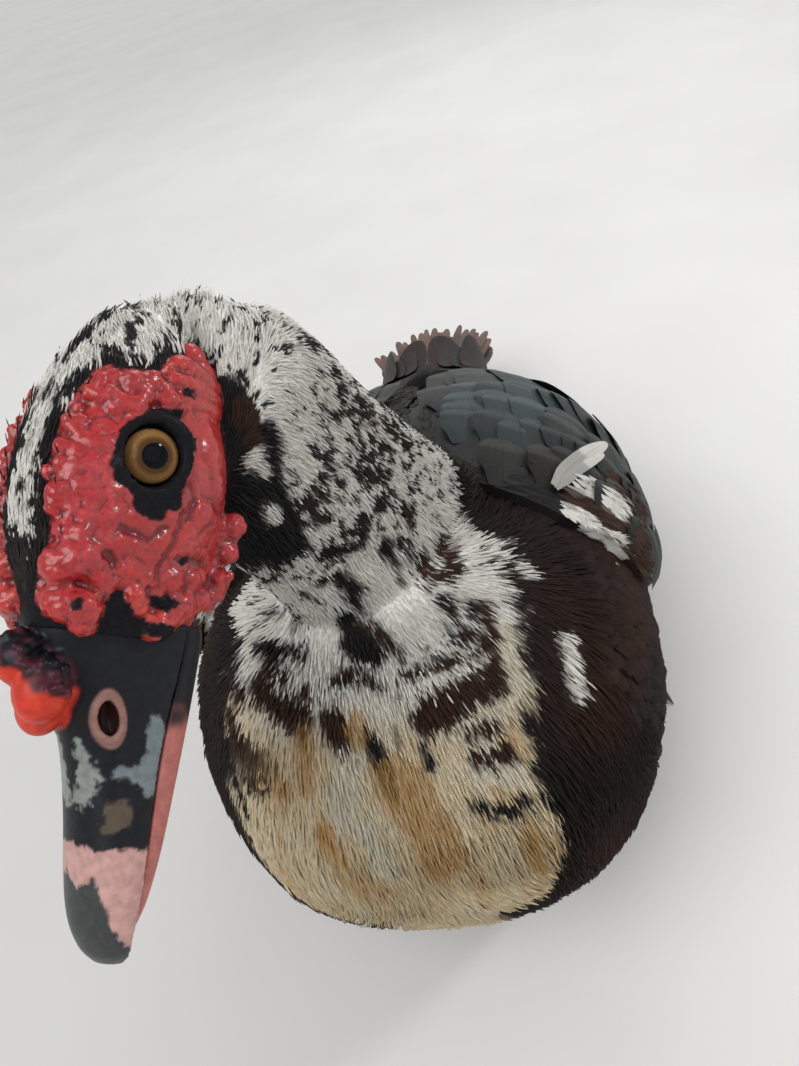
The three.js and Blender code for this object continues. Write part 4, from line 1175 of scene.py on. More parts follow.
# Feather shapes: one closed thin vane of length 1 along y with split barbs at its tip
def vaneTemplate(name, barbs, seed, width, ragged, notch, thick=0.018, curl=0.12, camber=0.05, start=0.60, belted=True):
    rng = np.random.default_rng(seed)
    points, vanes, faces = [], [], []

    # Every corner of the vane is a pair of points, its upper and its lower one, which are the same on its rim
    def put(x, y, lift=0.0):
        drop = -curl * y * y - camber * (2 * x / width) ** 2
        points.append((x, y, drop + lift))
        vanes.append((2 * x / width, y, 0))
        return (len(points) - 1,) * 2

    def double(x, y, swell=1.0):
        return put(x, y, thick * swell / 2)[0], put(x, y, -thick * swell / 2)[0]

    root = put(0, 0)
    belt = [double(side * width * 0.36, 0.30, swell) for side, swell in ((-1, 1.0), (1, 1.0), (0, 1.6)) if belted]
    top = double(0, start, 1.5)
    turns = np.linspace(-1.25, 1.25, barbs + 1)
    notches = []
    for i, turn in enumerate(turns):
        inner = 1.0 if i in (0, barbs) else notch + rng.uniform(-0.06, 0.06)
        notches.append(double(0.5 * width * math.sin(turn) * inner, start + (1 - start) * math.cos(turn) * inner, 0.8))
    tips = []
    for turn in (turns[:-1] + turns[1:]) / 2:
        far = 1 + ragged * rng.uniform(-1, 0.8)
        x, y = 0.5 * width * math.sin(turn) * far * 1.02, start + (1 - start) * math.cos(turn) * far
        tips.append(put(x, y, rng.uniform(-0.02, 0.02)))
    if belted:
        left, right, middle = belt
        plates = [(root, middle, left), (root, right, middle), (left, middle, top), (left, top, notches[0]),
                  (middle, right, top), (right, notches[-1], top)]
    else:
        plates = [(root, top, notches[0]), (root, notches[-1], top)]
    rim = [root] + belt[:1] + [notches[0]]
    for before, after, tip in zip(notches[:-1], notches[1:], tips):
        plates += [(before, top, after), (before, after, tip)]
        rim += [tip, after]
    rim += belt[1:2]
    for corners in plates:
        faces += [tuple(upper for upper, _ in corners), tuple(lower for _, lower in reversed(corners))]
    for a, b in zip(rim, rim[1:] + rim[:1]):
        unique = tuple(dict.fromkeys((a[0], b[0], b[1], a[1])))
        if len(unique) > 2:
            faces.append(unique)
    made = meshObject(name, points, faces, inScene=False)
    outwards(made.data)
    setAttribute(made.data, "vane", np.array(vanes))
    return made


shapesEach = 4  # shapes of each kind of feather


# Plants a feather on every point, turned by the point's own directions, and lays its patch in the bake map
def coatTree(name, templates):
    tree = bpy.data.node_groups.new(name, "GeometryNodeTree")
    tree.interface.new_socket("Roots", in_out="INPUT", socket_type="NodeSocketGeometry")
    for label, value in (("Length", 1.0), ("Width", 1.0), ("Thickness", 1.0), ("Patch", 0.003)):
        socket = tree.interface.new_socket(label, in_out="INPUT", socket_type="NodeSocketFloat")
        socket.default_value = value
    tree.interface.new_socket("Finish", in_out="INPUT", socket_type="NodeSocketMaterial")
    tree.interface.new_socket("Coat", in_out="OUTPUT", socket_type="NodeSocketGeometry")
    entry = tree.nodes.new("NodeGroupInput")
    shapes = tree.nodes.new("GeometryNodeJoinGeometry")
    for template in templates:
        info = addNode(tree, "GeometryNodeObjectInfo", {"Object": template, "As Instance": True})
        tree.links.new(info.outputs["Geometry"], shapes.inputs[0])

    def named(label, kind="FLOAT_VECTOR"):
        made = addNode(tree, "GeometryNodeInputNamedAttribute", {"Name": label}, data_type=kind)
        return made.outputs["Attribute"]

    turn = addNode(tree, "FunctionNodeAxesToRotation", {"Primary Axis": named("out"), "Secondary Axis": named("lie")},
                   primary_axis="Z", secondary_axis="Y")
    sizes = addNode(tree, "ShaderNodeCombineXYZ", {
        0: entry.outputs["Width"], 1: entry.outputs["Length"], 2: entry.outputs["Thickness"]}).outputs[0]
    planted = addNode(tree, "GeometryNodeInstanceOnPoints", {
        "Points": entry.outputs["Roots"], "Instance": shapes.outputs[0], "Pick Instance": True,
        "Instance Index": named("kind", "INT"), "Rotation": turn.outputs[0],
        "Scale": vectorSums(tree, "MULTIPLY", named("size"), sizes)})
    real = addNode(tree, "GeometryNodeRealizeInstances", {"Geometry": planted.outputs[0]})
    spot = vectorSums(tree, "MULTIPLY", vectorSums(tree, "ADD", named("vane"), (0, -0.5, 0)), (0.5, 1, 0))
    patch = addNode(tree, "ShaderNodeVectorMath", {0: spot, "Scale": entry.outputs["Patch"]}, operation="SCALE")
    bake = addNode(tree, "GeometryNodeStoreNamedAttribute", {
        "Geometry": real.outputs[0], "Name": "OFBake",
        "Value": vectorSums(tree, "ADD", named("rootPlace"), patch.outputs[0])}, data_type="FLOAT2", domain="CORNER")
    finish = addNode(tree, "GeometryNodeSetMaterial", {"Geometry": bake.outputs[0],
                                                       "Material": entry.outputs["Finish"]})
    leave = tree.nodes.new("NodeGroupOutput")
    tree.links.new(finish.outputs[0], leave.inputs[0])
    return tree


# One piece of the coat: a feather of the kind given on each root, with its cell of the bake map at u and v
def growCoat(name, kind, roots, out, lie, tall, wide, colours, u, v):
    tree, finish = kind
    rng = np.random.default_rng(len(roots))
    made = meshObject(name, roots, [])
    placing = {
        "out": out, "lie": lie, "size": stacked(wide, tall, tall) * mm,
        "rootPlace": stacked(0.01 + 0.98 * np.clip(u, 0, 1), 0.01 + 0.98 * np.clip(v, 0, 1), 0.0),
    }
    fields = {**placing, **dict(zip(("rootTone", "midTone", "tipTone"), colours)), "seed": rng.random(len(roots)),
              "kind": rng.integers(0, shapesEach, len(roots)).astype(np.int32)}
    for label, values in fields.items():
        setAttribute(made.data, label, values)
    plant = made.modifiers.new("plant", "NODES")
    plant.node_group = tree
    for item in tree.interface.items_tree:
        if item.name == "Finish" and item.in_out == "INPUT":
            plant[item.identifier] = finish
    plainMesh(made)
    for label in ("kind", *placing):
        made.data.attributes.remove(made.data.attributes[label])
    points = verticesOf(made.data)
    points[:, 2] = np.maximum(points[:, 2], 0.3 + 0.02 * (points[:, 2] % 1.0))  # off the floor, each by its own bit
    moveVertices(made.data, points)
    print(name, len(roots), "feathers,", len(made.data.loops) - 2 * len(made.data.polygons), "triangles")
    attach(made, "root")


# Roots over a surface, no two nearer than the spacing that their place asks for
def scatter(points, normals, triangles, spacing, seed, crowd=5.0):
    rng = np.random.default_rng(seed)
    a, b, c = (points[triangles[:, k]] for k in range(3))
    area = 0.5 * lengths(np.cross(b - a, c - a))
    expected = np.where(spacing > 0, area / np.maximum(spacing, 0.1) ** 2 * crowd, 0)
    count = np.floor(expected + rng.random(len(area))).astype(int)
    which = np.repeat(np.arange(len(area)), count)
    r1, r2 = np.sqrt(rng.random(len(which))), rng.random(len(which))
    share = stacked(1 - r1, r1 * (1 - r2), r1 * r2)[:, :, None]
    places = (points[triangles[which]] * share).sum(axis=1)
    ways = unit((normals[triangles[which]] * share).sum(axis=1))
    gap = spacing[which]
    tree = KDTree(len(places))
    for i, p in enumerate(places):
        tree.insert(p, i)
    tree.balance()
    gone = bytearray(len(places))
    kept = []
    for i in rng.permutation(len(places)):
        if gone[i]:
            continue
        kept.append(i)
        for _, j, _ in tree.find_range(places[i], gap[i]):
            gone[j] = 1
    kept = np.array(kept)
    return places[kept], ways[kept]


coat = {
    "depth": {"torso": 4.2, "neck": 2.3, "head": 0.9},  # how high the tips stand over the skin
    "strand": {"neck": 0.92, "crown": 0.82, "breast": 1.2},  # between the roots of strands
    "vane": 0.29,  # between roots on the flanks and back, as a share of the feather's length
    "strandEnd": 2.5,  # place along the torso where the strands end
    "width": {"neck": 0.48, "breast": 0.62},  # of one strand
    "tufts": 3.4,  # between the short tufts in the bare skin over the eye
}


# Length of the feathers that grow at each point
def featherLength(points):
    neckT, _ = neckPlace(points)
    fromNeck = lengths(points - neck["base"])
    place, angle = torsoPlace(points)
    onTorso = 11 + 4 * ease(52, 120, fromNeck) + 8 * ease(1.8, 5, place)
    onNeck = np.interp(neckT, [1.6, 2.4, 3.5, 5, 6], [11, 9.0, 7.6, 5.8, 4.4])
    return np.where(neckT > 1.8, np.minimum(onNeck, onTorso), onTorso)


# Which way feathers lie at each point
def featherLie(points, normals):
    neckT, neckShare = neckPlace(points)
    way = unit(neckAt(np.maximum(neckT - 0.2, 0))[:, :3] - neckAt(neckT + 0.05)[:, :3])
    away = unit(points - neck["base"])
    back = np.array([0, 1.0, -0.12])
    place, _ = torsoPlace(points)
    body = unit(away * (1 - ease(1.5, 6, place))[:, None] + back * ease(0.8, 6, place)[:, None])
    shelf = ease(0.25, 0.65, normals[:, 2]) * ease(3.7, 3.1, neckT)
    onNeck = (ease(1.6, 2.6, neckT) * (1 - shelf))[:, None]
    lie = mixed(body, way, onNeck)
    local = toHead(points)
    onHead = (ease(5.0, 5.6, neckT) * (lengths(local) < 60))[:, None]
    settle = ease(4.4, 3.4, neckT) * ease(0.6, 1.4, neckT) * ease(0.15, 0.5, -normals[:, 1])
    lie = lie + (0.8 * settle)[:, None] * np.array([0.3, -0.4, -1.0])
    rearward = -headForward + 0.2 * headUp
    lie = mixed(lie, rearward, onHead)
    sway = stacked(*(grain(points, 18, 31 + k) for k in range(3)))
    lie = unit(lie + 0.22 * sway)
    return unit(lie - normals * np.einsum("ij,ij->i", lie, normals)[:, None])


# Where the torso carries strands, which give way to vanes on the flanks
def hasStrands(points, place, neckT):
    return (place + 0.45 * grain(points, 13, 81) < coat["strandEnd"]) | (neckT > 1.7)


# The kinds of feather, each with the node tree that plants it and its finish: strands on neck, crown and breast,
# combs on the wing's edge, vanes on flanks and back
def featherKit():
    each = range(shapesEach)
    shapes = {
        "strand": [strandTemplate(f"strand{k}", 40 + k) for k in each],
        "comb": [vaneTemplate(f"comb{k}", 7, 60 + k, width=0.34, ragged=0.16, notch=0.48, thick=0.03, curl=0.10,
                              camber=0.04, start=0.34, belted=False) for k in each],
        "vane": [vaneTemplate(f"vane{k}", 9, 50 + k, width=0.56, ragged=0.12, notch=0.68) for k in each],
    }
    finishes = {
        "strand": featherMaterial("neckPlumage", barbs=2.0, ragged=0.30, shade=0.2, roughness=0.7, specular=0.22),
        "comb": featherMaterial("breastPlumage", barbs=22.0, ragged=0.34, roughness=0.7, specular=0.2),
        "vane": featherMaterial("bodyPlumage", roughness=0.7, specular=0.07),
    }
    trees = {"strand": "plantStrands", "comb": "plantCombs", "vane": "plantVanes"}
    return {kind: (coatTree(trees[kind], shapes[kind]), finishes[kind]) for kind in shapes}, sum(shapes.values(), [])


# Place and angle round the torso, place along the neck, and where hairs of the neck or strands of the breast grow
def plumageAt(points):
    place, angle = torsoPlace(points)
    neckT, _ = neckPlace(points)
    hairy = neckT > collar(points)
    return place, angle, neckT, hairy, ~hairy & hasStrands(points, place, neckT)


underWing = {"places": (4.5, 8.5), "low": 12, "neck": 1.9, "thin": 0.8}  # where the wing hides the coat
bareEdge = -1.3  # how far inside the bare skin's edge feathers still grow
crownFrom = 5.3  # place along the neck


# Distance between the roots at the middle of each triangle, 0 where none grow
def coatSpacing(centres):
    place, angle, neckT, hairy, stranded = plumageAt(centres)
    local = toHead(centres)
    fold = fromSide(angle)
    first, last = underWing["places"]
    hidden = (place > first) & (place < last) & (fold > underWing["low"]) & (neckT < underWing["neck"])
    length = featherLength(centres)
    spacing = np.where(stranded, coat["strand"]["breast"], coat["vane"] * length)
    spacing = np.where(hairy, np.where(neckT > crownFrom, coat["strand"]["crown"], coat["strand"]["neck"]), spacing)
    spacing = np.where(hidden, length * underWing["thin"], spacing)
    bare, edge = bareOf(centres), bareGap(local)
    forward, angle = skullPlace(local)
    onBeak = (forward > 36) & (lengths(local) < 70)
    rooted = (edge > bareEdge) & (bulbGap(local) > 0.6) & (forward < 30) & (neckT > 5)
    spacing[(bare & ~rooted) | onBeak] = 0
    tufts = bare & (edge < bareEdge) & (edge > -4.5) & (angle > 24) & (forward > -10) & (forward < 28) & (neckT > 5)
    spacing[tufts] = coat["tufts"]
    return spacing


def makeCoat(skin, kit):
    points, normals, triangles = verticesOf(skin.data), normalsOf(skin.data), trianglesOf(skin.data)
    roots, out = scatter(points, normals, triangles, coatSpacing(points[triangles].mean(axis=1)), 5)
    number = len(roots)
    print("roots", number)
    rng = np.random.default_rng(9)
    length = featherLength(roots) * rng.uniform(0.85, 1.15, number)
    lie = featherLie(roots, out)
    place, angle, neckT, hairy, stranded = plumageAt(roots)
    local = toHead(roots)
    edge = bareGap(local)
    onHead = neckT > crownFrom
    sway = np.radians(rng.normal(0, np.where(hairy, 9, 6)))[:, None]
    lie = lie * np.cos(sway) + np.cross(lie, out) * np.sin(sway)
    low = (roots[:, 2] < 14) & (out[:, 2] < -0.6)
    inked = coatTone(roots).sum(axis=1) < 0.3
    crest = onHead & inked & (local[:, 0] < 8) & (out[:, 2] > 0.3) & (rng.random(number) < 0.3)
    inBare = onHead & (edge < bareEdge)
    length = np.where(inBare, rng.uniform(1.6, 3.4, number), np.where(crest, length * 1.35, length))
    depths = coat["depth"]
    depth = np.where(hairy, np.where(onHead, depths["head"], depths["neck"]), depths["torso"])
    depth = np.where(~hairy & (neckT > 2.0), depths["neck"] + 0.6, depth)
    rise = np.degrees(np.arcsin(np.clip(depth / length, 0, 0.5)))
    rise = np.where(crest, rng.uniform(12, 24, number), rise)
    rise = np.where(inBare, rng.uniform(5, 60, number), rise)
    lift = np.radians(np.where(low, 2.0, rise) + rng.normal(0, 1.5, number))[:, None]
    way, facing = lie * np.cos(lift) + out * np.sin(lift), out * np.cos(lift) - lie * np.sin(lift)
    stray = lie * np.where(hairy, 0.3, 1.7)[:, None] * rng.normal(0, 1, (number, 1))
    stray += np.where(stranded | hairy, 0.25, 0.9)[:, None] * rng.normal(0, 1, (number, 3))
    tops = roots + out * np.where(hairy, neck["coatDepth"], torso["coatDepth"])[:, None]
    colours = [coatTone(tops + stray + lie * length[:, None] * s) * rng.uniform(0.86, 1.1, (number, 1))
               for s in (0.45, 0.72, 0.98)]
    rim = (np.abs(edge) < 3.5) & (grain(roots, 4, 71) > -0.1)
    for values in colours:
        values[onHead & (local[:, 0] < 30) & ((edge < bareEdge) | rim)] = tone["black"]
    start = roots - out * np.where(hairy, 0.15, 0.4)[:, None]
    upper, left = neckT > 3.4, roots[:, 0] > 0
    groups = {"coat_crown": onHead}
    for part, chosen in (("neck_upper", hairy & ~onHead & upper), ("neck_lower", hairy & ~upper), ("breast", stranded)):
        groups |= {f"coat_{part}_left": chosen & left, f"coat_{part}_right": chosen & ~left}
    rest = ~hairy & ~stranded
    groups |= {"coat_flanks": rest & (place < 4.8), "coat_hind": rest & (place >= 4.8)}
    middle = neckAt(neckT)[:, :3]
    turn = np.arctan2(roots[:, 1] - middle[:, 1], roots[:, 0] - middle[:, 0])
    forward, skullAngle = skullPlace(local)
    cells = {
        "crown": (np.sign(local[:, 1]) * (90 - skullAngle) / 200 + 0.5, (forward + 45) / 95),
        "neck": (turn / (2 * math.pi) + 0.5, neckT / 6),
        "body": (angle / 360 + 0.5, place / 10.5),
    }
    for name, chosen in groups.items():
        area = name.split("_")[1]
        wide = rng.uniform(0.8, 1.25, chosen.sum())
        if area in ("crown", "neck", "breast"):
            kind, widths = kit["strand"], coat["width"]["breast" if area == "breast" else "neck"] * wide
        else:
            kind, widths = kit["vane"], length[chosen]
        u, v = cells.get(area, cells["body"])
        growCoat(name, kind, start[chosen], facing[chosen], way[chosen], length[chosen], widths,
                 [c[chosen] for c in colours], u[chosen], v[chosen])


# Eyes
def eyeMaterial():
    material, tree, shader = newMaterial("wetEye", roughness=0.5, coat=0.14, coatRoughness=0.03, specular=0.02)
    gaze = readAttribute(tree, "gaze")
    split = addNode(tree, "ShaderNodeSeparateXYZ", {0: gaze})
    radius = split.outputs[0]
    streaks = noise(tree, gaze, 9.0, 3.0)
    colour = blendColours(tree, ramp(tree, radius, eye["pupil"] - 0.2, eye["pupil"] + 0.25), (0.004, 0.004, 0.005, 1),
                          (0.075, 0.035, 0.013, 1))
    golden = blendColours(tree, ramp(tree, streaks, 0.3, 0.7), (0.20, 0.095, 0.028, 1), (0.33, 0.18, 0.065, 1))
    colour = blendColours(tree, ramp(tree, radius, eye["pupil"] + 0.6, eye["iris"] - 1.2), colour, golden)
    colour = blendColours(tree, ramp(tree, radius, eye["iris"] - 0.35, eye["iris"]), colour, (0.01, 0.008, 0.008, 1))
    tree.links.new(colour, shader.inputs["Base Color"])
    return material


def makeEyes():
    finish = eyeMaterial()
    angles = circle(64)
    for side, name in ((1, "left"), (-1, "right")):
        rings = []
        for turn in np.linspace(0.02, math.pi - 0.02, 48):
            ring = stacked(np.sin(turn) * np.cos(angles), np.cos(turn), np.sin(turn) * np.sin(angles))
            rings.append(ring * (eye["radius"] + 0.3 * ease(0.9, 0.2, turn)))
        points, faces = loft(rings)
        made = meshObject(f"eyeball_{name}", inHead(fromEye(points, side)), faces)
        outwards(made.data)
        around = np.arctan2(points[:, 2], points[:, 0])
        radius = np.where(points[:, 1] > 0, np.hypot(points[:, 0], points[:, 2]), eye["radius"])
        setAttribute(made.data, "gaze", stacked(radius, np.cos(around), np.sin(around)))
        wear(made, finish)
        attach(made, "root")
        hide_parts(f"eye_{name}")


# Beak
beak = {
    "upper": [  # forward, half width, top, edge
        [39, 14.4, 13, -19.4], [44.3, 14.6, 12, -19], [52, 13.8, 8, -19], [60, 13, 3.5, -18.6], [72, 12.4, -2, -18.4],
        [86, 12.6, -6.5, -18.6], [100, 12.6, -10, -19.2], [110, 10.6, -12.5, -20.4], [116, 7.5, -15.5, -22.5],
        [119, 4, -19, -24],
    ],
    "lower": [
        [39, 13.6, -30, -19.6], [44.3, 13.8, -30.6, -19.6], [60, 13.2, -30.6, -19.2], [76, 12.8, -29.6, -19],
        [92, 12.4, -28, -19.2], [104, 10.6, -26.2, -20], [112, 6.5, -25, -21.4],
    ],
    "knob": [((57, 1.5, 8.6), (8.2, 7, 6.2)), ((51, -3, 12), (6.5, 6, 6)), ((61, -2.5, 5.5), (7.0, 6.4, 5.4))],
    "pebbles": {"count": 90, "radius": (0.8, 1.5)},
    "nostril": {"at": (62.5, 10.4, -4.2), "size": (5.0, 4.2, 2.4), "tilt": 0.35},
}
tone |= {name: np.array(value) for name, value in {
    "horn": (0.011, 0.0115, 0.014), "patchRight": (0.15, 0.18, 0.19), "patchLeft": (0.20, 0.22, 0.20),
    "brownBlotch": (0.085, 0.065, 0.045), "paleBand": (0.46, 0.27, 0.24), "pinkEdge": (0.42, 0.12, 0.10),
    "nail": (0.045, 0.05, 0.048), "purple": (0.060, 0.014, 0.022), "nostrilRim": (0.25, 0.13, 0.11),
    "nostril": (0.022, 0.007, 0.006), "lower": (0.012, 0.012, 0.015), "lowerPink": (0.42, 0.14, 0.12),
}.items()}
beakZones = {
    "patchRight": [
        152, 716, 160, 718, 163, 736, 174, 748, 173, 765, 163, 786, 148, 798, 142, 788, 124, 780, 114, 772, 118, 766,
        138, 764, 146, 748,
    ],
    "patchLeft": [76, 738, 88, 752, 100, 776, 96, 790, 84, 808, 76, 800, 74, 770],
    "brownBlotch": [108, 808, 124, 800, 136, 806, 134, 826, 118, 836, 104, 832],
    "paleBand": [
        66, 842, 96, 850, 128, 846, 156, 850, 164, 838, 172, 826, 178, 842, 190, 850, 186, 880, 168, 900, 140, 946,
        120, 960, 60, 960, 60, 880,
    ],
    "nail": [76, 888, 92, 880, 104, 900, 112, 930, 132, 948, 140, 966, 110, 985, 74, 960, 66, 910],
    "pinkEdge": [192, 736, 204, 736, 200, 800, 186, 850, 188, 810, 188, 770],
}


def domeRings(stations, rings, arc):
    read = tableReader(stations)
    turn, flat = np.linspace(0, math.pi, arc), np.linspace(-1, 1, 8)[1:-1]
    made = []
    for place in np.linspace(0, len(stations) - 1, rings):
        x, half, top, edge = read(place)
        dome = stacked(x, half * np.cos(turn), edge + (top - edge) * np.sin(turn) ** 0.8)
        made.append(np.vstack([dome, stacked(x, flat * half, edge)]))
    return made


def beakTone(points):
    local = onLeft(toHead(points))
    colours = np.tile(tone["horn"], (len(points), 1))
    flat = photoPlace(inHead(local))
    wobble = 4.0 * grain(points, 1.5, 51) + 3.5 * grain(points, 5, 52) + 2.5 * grain(points, 0.7, 53)
    for name in ("patchRight", "patchLeft", "brownBlotch", "paleBand", "pinkEdge", "nail"):
        gap = polygonGap(flat, pairs(beakZones[name]), (1, 1))
        colours = painted(colours, name, ease(2.5, -2.5, gap + wobble))
    return colours


beakPoints, beakFaces = loft(domeRings(beak["upper"], 60, 40))
beakSurface = surfaceOf(inHead(beakPoints), beakFaces)


def hornMaterial(name, **look):
    material, tree, shader = newMaterial(name, **look)
    place = objectPlace(tree)
    addMottle(tree, shader, readAttribute(tree, "tone"), noise(tree, place, 420.0, 4.0), 0.85, 1.12)
    addBump(tree, shader, noise(tree, place, 1500.0, 3.0), 0.18, 0.0003)
    return material


# Places on the knob: how near its surface, and how much of its red-orange
def knobGap(local):
    return np.min([lengths((local - at) / size) for at, size in beak["knob"]], 0)


def knobRed(local):
    front = ease(52, 54.5, local[:, 0] - 0.55 * local[:, 1] + 1.8 * grain(local, 3, 61))
    return ease(1.3, 1.15, knobGap(local)) * front


# Places round the left nostril, each with the thickness of its rim, laid on the side of the beak
def nostrilRim(spot, tilt):
    balls = []
    for turn in circle(26):
        rim = np.array([math.cos(turn) * (spot["size"][0] + 0.1), 0, math.sin(turn) * (spot["size"][2] + 0.1)])
        place = rim @ tilt.T + np.array(spot["at"])
        met = beakSurface.ray_cast(Vector(inHead(place + (0, 30, 0))), Vector(-headLeft))[0]
        place[1] = toHead(np.array([met]))[0, 1]
        balls.append((place, 0.8 + 0.35 * max(0.0, math.cos(turn))))
    return balls


def upperBeak():
    made = meshObject("beakUpper", inHead(beakPoints), beakFaces)
    outwards(made.data)
    spot = beak["nostril"]
    tilt = np.array(Matrix.Rotation(spot["tilt"], 3, "Y"))
    for side in (1, -1):
        points, faces = ballPart((0, 0, 0), spot["size"])
        hole = meshObject("hole", inHead(points @ tilt.T + np.array(spot["at"]) * (1, side, 1)), faces)
        outwards(hole.data)
        combine(made, hole, "DIFFERENCE")
    parts = [(verticesOf(made.data), [tuple(p.vertices) for p in made.data.polygons])]
    discard(made)
    rng = np.random.default_rng(64)
    parts += [headBall(at, size) for at, size in beak["knob"]]
    for k in range(beak["pebbles"]["count"]):
        at, size = beak["knob"][k % len(beak["knob"])]
        place = np.array(at) + unit(rng.normal(0, 1, 3) + (0, 0, 0.5)) * size
        if knobRed(place[None])[0] < 0.5:
            parts.append(headBall(place, [rng.uniform(*beak["pebbles"]["radius"])] * 3))
    for side in (1, -1):
        for place, thick in nostrilRim(spot, tilt):
            parts.append(headBall(place * (1, side, 1), (thick, thick * 0.9, thick)))
    upper = remeshed("beak_upper", parts, voxels["beak"], 2)
    points = verticesOf(upper.data)
    local = toHead(points)
    onKnob = ease(1.25, 1.12, knobGap(local))
    colours = painted(beakTone(points), "purple", onKnob * ease(-0.1, 0.3, grain(points, 2.2, 62)))
    colours = mixed(colours, tone["orange"] * 0.9, knobRed(local)[:, None])
    away = stacked(local[:, 0] - spot["at"][0], local[:, 2] - spot["at"][2]) @ tilt[np.ix_((0, 2), (0, 2))]
    ring = np.hypot(away[:, 0] / spot["size"][0], away[:, 1] / spot["size"][2])
    aside = np.abs(np.abs(local[:, 1]) - 10) < 6
    colours = painted(colours, "nostrilRim", ease(1.5, 1.3, ring) * aside)
    # Painted shade: the inside of the nostril hole is coloured near black
    level = 0.8 * np.abs(local[:, 1]) + 0.6 * (local[:, 2] - spot["at"][2])
    inside = np.maximum(ease(7.5, 7.0, level) * ease(1.2, 1.1, ring), ease(0.82, 0.68, ring))
    setAttribute(upper.data, "tone", painted(colours, "nostril", inside * aside))
    return upper


def lowerBeak():
    points, faces = loft(domeRings(beak["lower"], 50, 30))
    lower = remeshed("beak_lower", [(inHead(points), faces)], voxels["beak"] * 1.2, 2)
    local = toHead(verticesOf(lower.data))
    share = ease(58, 66, local[:, 0] + 3 * grain(local, 4, 63))
    setAttribute(lower.data, "tone", painted(tone["lower"], "lowerPink", share))
    return lower


def makeBeak():
    finish = hornMaterial("beakHorn", roughness=0.36, specular=0.13, coat=0.05, coatRoughness=0.2)
    for made, node in ((upperBeak(), "upper_beak"), (lowerBeak(), "lower_beak")):
        wear(made, finish)
        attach(made, "root")
        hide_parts(node)


vaneRows = (0, 0.05, 0.12, 0.22, 0.32, 0.42, 0.52, 0.61, 0.70, 0.78, 0.85, 0.90, 0.94, 0.97, 0.99, 1.0)


# Flight feathers, tail feathers and large coverts: closed vanes laid along a path, torn open here and there
def tornVane(path, width, thick, tip, rng, tears=4, camber=0.06, columns=6):
    steps = np.linspace(0, 1, len(path["point"]))
    length = lengths(np.diff(path["point"], axis=0)).sum()
    slit = 0.5 / length
    rows = [(t, 0, 0.0) for t in vaneRows]
    for k in range(tears):
        t = 0.3 + 0.62 * (k + rng.uniform(0.15, 0.85)) / tears
        side, deep = rng.choice((-1, 1)), rng.uniform(0.12, 0.4)
        rows += [(t - slit, 0, 0.0), (t, side, deep), (t + slit, 0, 0.0)]
    rows.sort()
    across = np.linspace(-1, 1, columns + 1)
    t = np.array([r[0] for r in rows])[:, None]
    close = np.sqrt(np.maximum(0, 1 - (np.maximum(t - 0.62, 0) / 0.38) ** 2))
    half = 0.5 * width * np.minimum(1, 0.5 + 2 * t) * mixed(tip, 1, close)
    reach = np.tile(across, (len(rows), 1))
    for i, (_, side, deep) in enumerate(rows):
        if side:
            reach[i, reach[i] * side > 0.9] *= 1 - deep
    at = t + 0.55 * np.abs(reach) * half / length * (1 - t) * np.minimum(1, 8 * t)  # barbs slant towards the tip
    place, facing, side = (stacked(*(np.interp(at, steps, path[way][:, k]) for k in range(3)))
                           for way in ("point", "facing", "side"))
    edge = (np.abs(across) > 0.99)[None] | (t < 1e-6) | (t > 1 - 1e-6)
    body = np.where(edge, 0, 0.5 * thick * (1 - 0.6 * t))
    shaft = np.where(np.abs(across) < 0.01, 0.5 * thick * (1 - t), 0)
    middle = place + side * (reach * half)[..., None] - facing * (camber * half * reach ** 2)[..., None]
    upper = middle + facing * (body + shaft)[..., None]
    lower = middle - facing * body[..., None]
    vane = stacked(reach, t, 0)
    count = len(rows) * (columns + 1)
    top = np.arange(count).reshape(len(rows), columns + 1)
    spare = np.cumsum(~edge.ravel()).reshape(edge.shape) - 1
    bottom = np.where(edge, top, count + spare)
    points = np.vstack([upper.reshape(-1, 3), lower[~edge]])
    vanes = np.vstack([vane.reshape(-1, 3), vane[~edge]])
    faces = []
    for r in range(len(rows) - 1):
        for c in range(columns):
            for sheet, order in ((top, (0, 1, 3, 2)), (bottom, (2, 3, 1, 0))):
                corners = (sheet[r, c], sheet[r, c + 1], sheet[r + 1, c], sheet[r + 1, c + 1])
                faces.append(tuple(int(corners[k]) for k in order))
    return points, faces, vanes


# Many such feathers as one mesh, each with its own cell of the bake map
def featherBundle(name, feathers, material, columns):
    points, faces, vanes, cells = [], [], [], []
    tonesOf = {"rootTone": [], "midTone": [], "tipTone": []}
    seeds, start = [], 0
    rows = math.ceil(len(feathers) / columns)
    for k, (shape, colours, seed) in enumerate(feathers):
        points.append(shape[0])
        faces += [tuple(i + start for i in f) for f in shape[1]]
        vanes.append(shape[2])
        corner = np.array([k % columns, k // columns])
        inCell = 0.06 + 0.88 * stacked(0.5 + 0.5 * shape[2][:, 0], shape[2][:, 1])
        cells.append((corner + np.clip(inCell, 0, 1)) / (columns, rows))
        for label, colour in zip(tonesOf, colours):
            tonesOf[label].append(np.tile(colour, (len(shape[0]), 1)))
        seeds.append(np.full(len(shape[0]), seed))
        start += len(shape[0])
    made = meshObject(name, np.vstack(points), faces)
    outwards(made.data)
    setAttribute(made.data, "vane", np.vstack(vanes))
    setAttribute(made.data, "seed", np.concatenate(seeds))
    for label, values in tonesOf.items():
        setAttribute(made.data, label, np.vstack(values))
    corners = readField(made.data.loops, "vertex_index", 1, int)[:, 0]
    bakeMap = made.data.uv_layers.new(name="OFBake")
    bakeMap.uv.foreach_set("vector", np.vstack(cells)[corners].ravel())
    made.data.materials.append(material)
    return made


def bundleSurface(feathers):
    return surfaceOf(*joined([shape[:2] for shape, _, _ in feathers]))


# A plain core as one more entry of a bundle
def corePart(core, name):
    return (*core, np.zeros((len(core[0]), 3))), (tone[name],) * 3, 0.5


